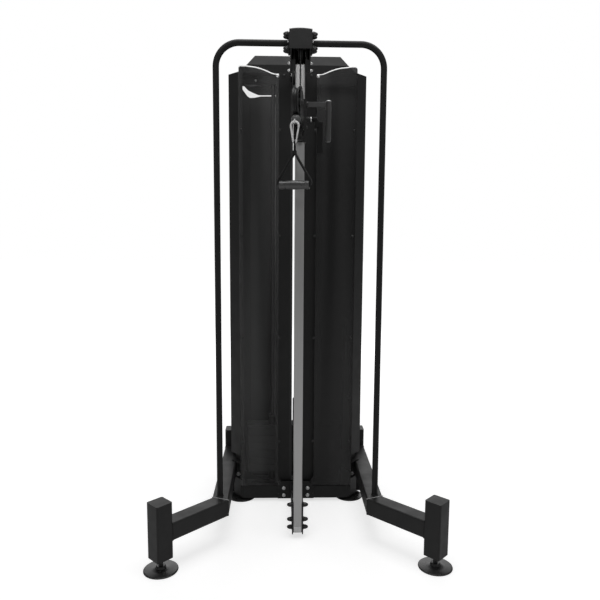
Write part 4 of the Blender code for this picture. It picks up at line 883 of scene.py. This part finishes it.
def grab_handle_mesh():
    """The flat bar bent round to the carriage, and the round bar."""
    flat = [(0.0273, -0.203), (0.11, -0.203), (0.11, -0.197), (0.0333, -0.197), (0.0333, -0.175),
            (0.0273, -0.175)]
    profile = [(0, 1.7595), (0.0095, 1.7595), (0.0112, 1.761), (0.0115, 1.7635), (0.0115, 1.9245),
               (0, 1.9245)]
    bar = lathe(profile, (GRAB_X, GRAB_Y, 0), sides=48)
    joint = [(x, y, 1.9215) for x, y in arc((GRAB_X, GRAB_Y), 0.0113, 145, 217, 9)]
    return merged([prism(flat, 1.901, 1.922, bevel=0.0009), bar, bead(joint, 0.0014, False)])


def grab_cap_mesh():
    """The bright domed cap on the bar's top and the plug in its foot."""
    radius = 0.0117
    cap = [(0, 1.924), (radius, 1.924)] + dome(radius, 1.925, 0.0046, 90, 8)[:-1] + [(0, 1.9296)]
    plug = [(0, 1.7591), (0.0066, 1.7591), (0.0074, 1.7597), (0.0066, 1.7604), (0, 1.7604)]
    return merged([lathe(cap, (GRAB_X, GRAB_Y, 0), sides=40), lathe(plug, (GRAB_X, GRAB_Y, 0), sides=32)])


def on_plunger(profile, sides=40):
    """A profile turned about the plunger's line."""
    return lathe(profile, (0, COLUMN_Y, PLUNGER_Z), ACROSS, sides)


def lever_mesh():
    """The grooved collar, the block and the flat lever bar."""
    collar = on_plunger([(0, 0.0537), (0.0098, 0.0537), (0.0105, 0.0544), (0.0105, 0.06), (0.0095, 0.0606),
                         (0.0095, 0.0612), (0.0105, 0.0618), (0.0105, 0.0722), (0.0098, 0.073), (0, 0.073)])
    tall = (PLUNGER_Z - 0.034, PLUNGER_Z - 0.006)
    block = plate((0.0625, 0.08), tall, (COLUMN_Y - 0.008, COLUMN_Y + 0.008), bevel=0.001)
    outline = rounded(0.0235, 0.129, 0.003, (0.08425, 1.7765), 3)
    bar = prism(outline, COLUMN_Y - 0.003, COLUMN_Y + 0.003, "Y", 0.0008)
    return merged([collar, block, bar])


# Profiles of turned pieces
PLUNGER = [(0, 0.0208), (0.0042, 0.0208), (0.0054, 0.022), (0.0054, 0.066), (0, 0.066)]
BARREL_RING = [(0.0058, 0.0446), (0.0106, 0.0446), (0.0109, 0.0451), (0.0109, 0.0482), (0.0106, 0.0487),
               (0.0058, 0.0487)]
SELECTOR_PIN = [(0, -0.03), (0.0105, -0.03), (0.0132, -0.0292), (0.0146, -0.0272), (0.015, -0.024),
                (0.015, -0.008), (0.0146, -0.005), (0.012, -0.0014), (0.0085, -0.0008), (0.0055, -0.0006),
                (0.0055, 0.05), (0.003, 0.053), (0, 0.053)]


# Cable

def middle(y, z):
    """A place in the machine's middle plane."""
    return (0, y, z)


def run(start, end, pieces):
    """Points of a straight run."""
    return [tuple(Vector(start).lerp(Vector(end), k / pieces)) for k in range(pieces + 1)]


def upright_run(y, start, end, pieces):
    """Points of a run straight up or down in the middle plane."""
    return run(middle(y, start), middle(y, end), pieces)


def wound(centre, radius, start, end, steps):
    """Points of cable that lies in a pulley's groove."""
    return [middle(y, z) for y, z in arc(centre, radius, start, end, steps)]


def cable_piece(name, path, body, replaced=()):
    """Cable that keeps its shape."""
    piece(name, tube(path, CABLE_RADIUS, 14), CABLE, body, "cable_cover", replaced)


def cable_blend(name, path, replaced=()):
    """Cable that runs from one body to another."""
    thing = object_of(name, tube(path, CABLE_RADIUS, 14), CABLE)
    if replaced:
        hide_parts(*replaced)
    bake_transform(thing)


# Tower details

def cover_edge_glow_mesh(side):
    """A narrow strip along a front cover's sawn top edge, widest in its middle, that carries the edge's
    painted highlight.
    """
    knots = [(0.09, 2.118), (0.1092, 2.1185), (0.1246, 2.122), (0.1495, 2.1325), (0.1745, 2.1415),
             (0.2033, 2.1485), (0.234, 2.152), (0.2513, 2.1548)]
    knots += arc((0.27, 2.143), 0.012, 90, 30, 3)
    line = [Vector((side * point.x, point.y)) for point in smooth_line(knots, 4)]
    front = COVER_FRONT - 0.0006
    back = COVER_BACK + 0.0002
    rings = []
    for index, point in enumerate(line):
        along = heading(line, index) * side
        share = index / (len(line) - 1)
        thick = 0.003 * (0.55 + 0.9 * math.sin(math.pi * min(1, 0.12 + share * 0.86)))
        reach = Vector((-along.y, along.x)) * thick / 2
        low = point - reach
        high = point + reach
        corners = ((low, front), (high, front), (high, back), (low, back))
        rings.append([(corner.x, y, corner.y) for corner, y in corners])
    return soften(skin(rings), 0.0003, 1)


def rear_top_plates(side):
    """The plates that close the tower's back at its top, with a bent gap between them on the left."""
    inner = 0.076
    outer = 0.306
    if side > 0:
        return plate((inner, outer), (REAR_PLATE_LOW, REAR_PLATE_HIGH), REAR_PLATES, bevel=0.0004)
    upper = [(inner, REAR_PLATE_HIGH), (outer, REAR_PLATE_HIGH), (outer, 2.1335), (0.2925, 2.129),
             (0.2777, 2.1249), (0.2481, 2.0955), (0.2308, 2.0872), (0.1971, 2.0735), (0.1844, 2.0725),
             (inner, 2.0745)]
    lower = [(inner, REAR_PLATE_LOW), (outer, REAR_PLATE_LOW), (outer, 2.129), (0.292, 2.1215),
             (0.27, 2.091), (0.252, 2.067), (0.24, 2.059), (0.214, 2.0605), (0.184, 2.067),
             (inner, 2.069)]
    outlines = [[(-x, z) for x, z in outline] for outline in (upper, lower)]
    return merged([prism(outline, *REAR_PLATES, "Y", 0.0004) for outline in outlines])


def slot_edge_shade_strips():
    """A black strip on each inner post's slot edge: painted shade standing in for the shadowed return into
    the slot.
    """
    return merged([plate((0.0215, 0.034), (0.112, 2.06), (0.1862, 0.1869), side) for side in (-1, 1)])


def head_cover_mesh():
    """The bent plate over the head, crowned across and a little wider than the side plates."""
    half = 0.0465
    front = -0.268
    back = -0.151
    foot = 2.117 - HEAD_COVER_TOP
    fold = arc((front + 0.007, -0.007), 0.007, 180, 90, 6)
    under = [(y + (0.003 if z < -0.006 else 0.0015), z - 0.003) for y, z in reversed(fold)]
    outline = [(front, foot)] + fold + [(back, 0.0), (back, -0.003)] + under + [(front + 0.003, foot)]
    steps = 16
    rings = []
    for index in range(steps + 1):
        share = 2 * index / steps - 1
        crown = HEAD_COVER_TOP - 0.004 * share ** 2
        rings.append([(half * share, y, z + (crown if z > -0.02 else HEAD_COVER_TOP)) for y, z in outline])
    return skin(rings)


def gap_closers():
    """Small plates behind the head, behind the slot's top, and between the base and the leg links."""
    plates = []
    for side in (-1, 1):
        plates.append(plate((0.004, 0.0233), (2.092, 2.189), (-0.1478, -0.1462), side))
        plates.append(plate((0.272, 0.348), (0.0095, 0.1985), (0.266, 0.268), side))
    plates.append(plate((-0.0045, 0.0045), (2.092, 2.172), (-0.1476, -0.1464)))
    corner = [(-0.2805, 2.126), (-0.2805, 2.147), (-0.274, 2.1525), (-0.25, 2.1515), (-0.23, 2.14),
              (-0.23, 2.126)]
    plates.append(prism(corner, 0.1592, 0.1604, "Y"))
    high = REAR_PLATE_HIGH
    back = [(-0.076, 2.0375), (0.076, 2.0375), (0.076, high), (0.0285, high), (0.0285, 2.196),
            (-0.0285, 2.196), (-0.0285, high), (-0.076, high)]
    plates.append(prism(back, 0.4056, 0.407, "Y"))
    return merged(plates)


def rod_mesh(side):
    """A guide rod with chamfered ends."""
    middle_z = sum(ROD_SPAN) / 2
    half = ROD_SPAN[1] - middle_z
    right = [(ROD_RADIUS, half - 0.001), (ROD_RADIUS - 0.001, half), (0, half)]
    return lathe(mirrored(right), (side * ROD_X, STACK_Y, middle_z), sides=48)


# Column

def column_mesh():
    """The square tube with rounded corners, open at both ends."""
    outer = rounded(0.04, 0.04, 0.0036, (0, COLUMN_Y), 6)
    inner = rounded(0.034, 0.034, 0.0012, (0, COLUMN_Y), 6)
    low, high = COLUMN_SPAN
    corners = ((outer, low), (outer, high), (inner, high), (inner, low))
    return skin([[(x, y, z) for x, y in outline] for outline, z in corners], closed=True)


def column_holes():
    """What the adjusting holes take away from the column's right side."""
    profile = [(0, 0.01), (0.0065, 0.01), (0.0065, 0.0196), (0.0075, 0.0206), (0, 0.0206)]
    heights = [PLUNGER_Z + HOLE_PITCH * step for step in range(-25, 2)]
    return merged([lathe(profile, (0, COLUMN_Y, z), ACROSS, 28) for z in heights])


def drill(thing, mesh):
    """Cut a mesh out of a piece."""
    tool = object_of("drill", mesh, thing.data.materials[0])
    cutter = thing.modifiers.new("holes", "BOOLEAN")
    cutter.operation = "DIFFERENCE"
    cutter.solver = "EXACT"
    cutter.object = tool
    bpy.context.view_layer.update()
    cut = bpy.data.meshes.new_from_object(thing.evaluated_get(bpy.context.evaluated_depsgraph_get()))
    thing.modifiers.clear()
    thing.data = cut
    bpy.data.objects.remove(tool, do_unlink=True)


# Fasteners

# Screws that face the front, on both sides: X, Y, heights, the head's radius and height
BRIGHT_SCREWS = ((0.061, BASE_FACE, (0.07, 0.033), 0.0095, 0.006),
                 (0.2035, 0.255, (2.112,), 0.0065, 0.0034),
                 (0.096, COVER_FRONT, (2.11,), 0.0078, 0.0036))
BLACK_SCREWS = ((0.088, BASE_FACE, (0.1035, 0.077, 0.043), 0.004, 0.002),
                (0.269, COVER_FRONT, (1.862, 1.36, 0.8555, 0.324), 0.0062, 0.0034),
                (0.085, COVER_FRONT, (1.862, 1.36, 0.8555, 0.324), 0.0058, 0.003),
                (0.0655, 0.187, (2.12,), 0.0062, 0.0032))


def screws(side, rows):
    """The screws of a table, on one side of the machine."""
    return [button_screw((side * x, y, z), AHEAD, *size) for x, y, heights, *size in rows for z in heights]


def frame_fasteners():
    """The bright ones, the black ones and the lock nuts that stay with the frame."""
    bright = []
    black = []
    lock_nuts = []
    for side in (-1, 1):
        out = (side, 0, 0)
        bright += screws(side, BRIGHT_SCREWS)
        black += screws(side, BLACK_SCREWS)
        for y in (-0.22, -0.18):
            for z in (2.1865, 2.13):
                black.append(spaced_nut(side, FLANGE_FACE, y, z, 0.0042, 0.0165, 0.008, 0.017))
        for z in (0.152, 0.083, 0.046):
            black.append(spaced_nut(side, LOWER_FACE, COLUMN_Y, z, 0.003, 0.0195, 0.009, 0.02))
        for z in (2.079, 2.05):
            bright.append(dome_nut((side * 0.042, COLUMN_Y, z), out, 0.0115, 0.0052, 0.0112))
        bright.append(button_screw((side * FLANGE_FACE, -0.229, FLANGE_Z), out, 0.0045, 0.003))
        bright.append(hex_nut((side * 0.3, 0.2655, 0.106), AHEAD, 0.019, 0.008))
        for x, y in (FRONT_POST, (LEG_X, REAR_POST_Y)):
            lock_nuts.append(hex_nut((side * x, y, 0.04), UP, 0.031, 0.0132))
    return merged(bright), merged(black), merged(lock_nuts)


# Build

for side, word in ((-1, "left"), (1, "right")):
    piece(f"leg_welds_{word}", leg_welds(side), PAINT, "frame", "black_paint")
    piece(f"arch_tube_{word}", arch_mesh(side), ARCH_PAINT, "frame", "black_paint", [f"arch_{word}"])
    piece(f"cover_edge_{word}", cover_edge_glow_mesh(side), SHEET_EDGE_GLOW, "frame", "smoked_sheet")
    piece(f"rear_top_plates_{word}", rear_top_plates(side), TOWER_PAINT, "frame", "black_paint")
    piece(f"rod_{word}", rod_mesh(side), ROD_STEEL, "frame", "bright_steel", [f"guide_rod_{word}"])
    for end, x, y in (("front", *FRONT_POST), ("rear", LEG_X, REAR_POST_Y)):
        name = f"foot_{end}_{word}"
        disc = foot_mesh(side * x, y, 0.0225, 0.074)
        piece(f"{name}_disc", disc, BLACK_ZINC, name, "black_zinc", [name])
    for end, x, y in (("front", 0.28, 0.226), ("rear", 0.2, 0.388)):
        name = f"tower_foot_{end}_{word}"
        disc = foot_mesh(side * x, y, 0.011, 0.035)
        piece(f"{name}_disc", disc, BLACK_ZINC, "frame", "black_zinc", [name])

piece("head_cover_plate", head_cover_mesh(), HEAD_PAINT, "frame", "black_paint", ["head_cover"])
# Pale beads across the knees: painted highlight
piece("knee_highlight_beads", knee_highlight_beads(), KNEE_HIGHLIGHT_PAINT, "frame", "black_paint")
foot_insert = plate((-0.0165, 0.0165), (0.03, 0.055), (-0.2126, -0.212))
piece("column_foot_insert", foot_insert, INSERT, "frame", "pulley_plastic")
# Black strips by the slot: painted shade where the slot's edges fall into shadow
piece("slot_edge_shade_strips", slot_edge_shade_strips(), RUBBER, "frame", "rubber")
piece("gap_closers", gap_closers(), TOWER_PAINT, "frame", "black_paint")
column = piece("column_tube", column_mesh(), COLUMN_STEEL, "frame", "satin_steel", ["column"])
drill(column, column_holes())

# Pulleys that turn across the machine: groove radius, Y and Z of the axle
PULLEYS = (("head_pulley", HEAD_PULLEY, HEAD_PULLEY_Y, PULLEY_TOP_Z),
           ("front_top_pulley", HEAD_PULLEY, FRONT_TOP_PULLEY_Y, PULLEY_TOP_Z),
           ("rear_top_pulley", REAR_PULLEY, REAR_TOP_PULLEY_Y, PULLEY_TOP_Z),
           ("base_pulley", REAR_PULLEY, REAR_TOP_PULLEY_Y, PULLEY_LOW_Z),
           ("column_foot_pulley", REAR_PULLEY, COLUMN_FOOT_PULLEY_Y, PULLEY_LOW_Z),
           ("stack_pulley", STACK_PULLEY, STACK_Y, STACK_PULLEY_Z))
for name, groove, y, z in PULLEYS:
    wheel = pulley_mesh(groove, PULLEY_WIDTH, middle(y, z))
    bearing = bearing_mesh(PULLEY_WIDTH, middle(y, z))
    piece(f"{name}_wheel", wheel, PLASTIC, name, "pulley_plastic", [name])
    piece(f"{name}_bearing", bearing, AXLE_STEEL, name, "bright_steel")
place = in_fork(CARRIAGE_PULLEY, CARRIAGE_PULLEY_Z)
axle = SWIVEL.to_3x3() @ Vector(ACROSS)
wheel = pulley_mesh(CARRIAGE_PULLEY, CARRIAGE_PULLEY_WIDTH, place, axle)
bearing = bearing_mesh(CARRIAGE_PULLEY_WIDTH, place, axle)
piece("carriage_wheel", wheel, PLASTIC, "carriage_pulley", "pulley_plastic", ["carriage_pulley"])
piece("carriage_wheel_bearing", bearing, AXLE_STEEL, "carriage_pulley", "bright_steel")

# Handle
HANDLE = (("ball", ball_mesh, BALL_RUBBER, "ball", "rubber", ["ball_stopper"]),
          ("ball_eye", eye_mesh, ZINC, "ball", "zinc"),
          ("carabiner_hook", carabiner_mesh, CHROME_PAINTED_REFLECTION, "carabiner", "zinc", ["carabiner"]),
          ("carabiner_bar", gate_mesh, CHROME_PAINTED_REFLECTION, "gate", "zinc", ["carabiner_gate"]),
          ("strap_band", strap_mesh, WEBBING, "strap", "webbing", ["strap"]),
          ("strap_loop", strap_loop_mesh, WEBBING, "strap", "webbing"),
          ("strap_stitches", stitch_mesh, THREAD, "strap", "webbing"),
          ("grip_tube", grip_mesh, GRIP_RUBBER, "grip", "rubber", ["grip"]))
for name, shape, *rest in HANDLE:
    piece(name, moved(shape(), SWIVEL), *rest)

# Hand parts of the carriage, and the selector pin
piece("grab_bar", grab_handle_mesh(), HAND_PAINT, "carriage", "black_paint", ["grab_handle"])
piece("grab_bar_caps", grab_cap_mesh(), ZINC, "carriage", "zinc")
piece("plunger_pin", on_plunger(PLUNGER, 32), LEVER_BLACK, "release", "black_zinc", ["release_lever"])
piece("lever", lever_mesh(), LEVER_BLACK, "release", "black_paint")
piece("barrel_ring", on_plunger(BARREL_RING), ZINC, "carriage", "zinc")
piece("pin", lathe(SELECTOR_PIN, PIN_PLACE, BACK), PIN_HEAD, "pin", "pulley_plastic", ["selector_pin"])

# Cable
front_run = upright_run(SWIVEL_Y, PULLEY_TOP_Z, CARRIAGE_PULLEY_Z, 12)
cable_blend("cable_front_run", front_run, ["cable"])
over_head = wound((HEAD_PULLEY_Y, PULLEY_TOP_Z), HEAD_PULLEY, 180, 90, 16)
over_head += wound((FRONT_TOP_PULLEY_Y, PULLEY_TOP_Z), HEAD_PULLEY, 90, 0, 16)
cable_piece("cable_over_head", over_head, "frame")
front_fall = upright_run(STACK_Y - STACK_PULLEY, PULLEY_TOP_Z, STACK_PULLEY_Z, 16)
cable_blend("cable_front_fall", front_fall)
cable_piece("cable_under_stack", wound((STACK_Y, STACK_PULLEY_Z), STACK_PULLEY, -180, 0, 28), "stack")
rear_fall = upright_run(STACK_Y + STACK_PULLEY, PULLEY_TOP_Z, STACK_PULLEY_Z, 16)
cable_blend("cable_rear_fall", rear_fall)
way_back = wound((REAR_TOP_PULLEY_Y, PULLEY_TOP_Z), REAR_PULLEY, 180, 0, 24)
way_back += wound((REAR_TOP_PULLEY_Y, PULLEY_LOW_Z), REAR_PULLEY, 0, -90, 14)
way_back += wound((COLUMN_FOOT_PULLEY_Y, PULLEY_LOW_Z), REAR_PULLEY, -90, -180, 14)
cable_piece("cable_return", way_back, "frame")
back_run = upright_run(BACK_RUN_Y, PULLEY_LOW_Z, BACK_RUN_TOP, 16)
cable_blend("cable_back_run", back_run)
centre = (CARRIAGE_PULLEY, CARRIAGE_PULLEY_Z)
in_groove = [in_fork(*point) for point in arc(centre, CARRIAGE_PULLEY, 180, 270 - math.degrees(SLOPE), 18)]
cable_piece("cable_in_fork", in_groove, "fork", ["cable_handle_run"])
handle_end = run(in_fork(*handle_line(0)), in_fork(*handle_line(BALL_ALONG - BALL_RADIUS * 0.96)), 8)
cable_blend("cable_handle_end", handle_end)

# Screws and nuts
bright_ones, black_ones, lock_nuts = frame_fasteners()
piece("bright_fasteners", bright_ones, ZINC, "frame", "zinc")
piece("lock_nuts", lock_nuts, CHROME_PAINTED_REFLECTION, "frame", "zinc")
piece("black_fasteners", black_ones, BLACK_ZINC, "frame", "black_zinc")
carriage_bolts = [button_screw((0.0275, -0.208, z), ACROSS, 0.0072, 0.006) for z in (1.912, 1.817)]
piece("carriage_bolts", merged(carriage_bolts), BLACK_ZINC, "carriage", "black_zinc")


# Studio

WORLD_LIGHT = 0.16
FLOOR_LIFT = 0.66

# Soft boxes: name, place, target, size, power
LAMPS = (("over", (0.1, -0.2, 4.4), (0, 0, 0.6), (3.4, 3.0), 90),
         ("left", (-3.2, -2.2, 2.2), (0, 0, 1.0), (1.6, 2.6), 8),
         ("right", (3.4, -1.4, 2.0), (0, 0, 1.0), (1.4, 2.6), 6),
         ("back", (0, 5.0, 2.4), (0, 0, 0.8), (7.0, 3.0), 90),
         ("front", (0, -3.8, 3.3), (0, 0, 1.9), (0.9, 0.5), 8))

# The camera fitted to the photograph
CAMERA_PLACE = (-0.075, -2.794, 1.403)
CAMERA_RIGHT = (0.9995, -0.0301, 0.0061)
CAMERA_UP = (-0.0025, 0.1204, 0.9927)
CAMERA_LENS = 36.13  # millimetres, for a sensor 36 wide


def plain_stage():
    """A pale floor that keeps the object's shadow, and white beyond it."""
    mesh = bmesh.new()
    corners = [mesh.verts.new(point) for point in ((-14, -9, 0), (14, -9, 0), (14, 22, 0), (-14, 22, 0))]
    mesh.faces.new(corners)
    shader = Shader("floor_white")
    shader.colour(shader.noise(0.8), grey(0.6), grey(0.62))
    distance = shader.node("VectorMath", "Value", {0: shader.coords}, operation="LENGTH")
    lift = shader.spread(distance, 1.2, 4.0, FLOOR_LIFT, 0.98)
    glossy = shader.maths("MULTIPLY", shader.node("LightPath", "Is Glossy Ray"), 0.25)
    seen = shader.maths("MAXIMUM", shader.node("LightPath", "Is Camera Ray"), glossy)
    shader.set("Emission Color", WHITE)
    shader.set("Emission Strength", shader.maths("MULTIPLY", seen, lift))
    shader.set("Roughness", 0.9)
    shader.set("Specular IOR Level", 0.0)
    floor = object_of("floor", mesh, shader.material)


def white_world():
    """White where the camera sees it, and a soft grey room for light and reflections."""
    world = bpy.data.worlds.new("studio")
    bpy.context.scene.world = world
    world.use_nodes = True
    tree = world.node_tree
    seen = add_node(tree, "LightPath", "Is Camera Ray", {}, {})
    level = add_node(tree, "MapRange", "Result", {"Value": seen, "To Min": WORLD_LIGHT, "To Max": 1.0}, {})
    fill(tree, tree.nodes["Background"], {"Color": WHITE, "Strength": level})


def soft_light(name, place, target, size, power):
    """A soft box that points at a target."""
    data = bpy.data.lights.new(name, "AREA")
    data.shape = "RECTANGLE"
    data.size, data.size_y = size
    data.energy = power
    lamp = in_scene(name, data)
    lamp.location = place
    lamp.visible_camera = False
    lamp.rotation_euler = (Vector(target) - Vector(place)).to_track_quat("-Z", "Y").to_euler()


def photo_camera():
    """The camera that sees what the photograph shows."""
    up = Vector(CAMERA_UP)
    back = Vector(CAMERA_RIGHT).cross(up).normalized()
    right = up.cross(back).normalized()
    up = back.cross(right).normalized()
    data = bpy.data.cameras.new("photo")
    data.sensor_width = 36.0
    data.lens = CAMERA_LENS
    data.clip_end = 100
    camera = in_scene("photo", data)
    turn = Matrix((right, up, back)).transposed().to_4x4()
    camera.matrix_world = Matrix.Translation(CAMERA_PLACE) @ turn
    bpy.context.scene.camera = camera


plain_stage()
white_world()
for lamp in LAMPS:
    soft_light(*lamp)
photo_camera()
bpy.context.scene.view_settings.view_transform = "Standard"
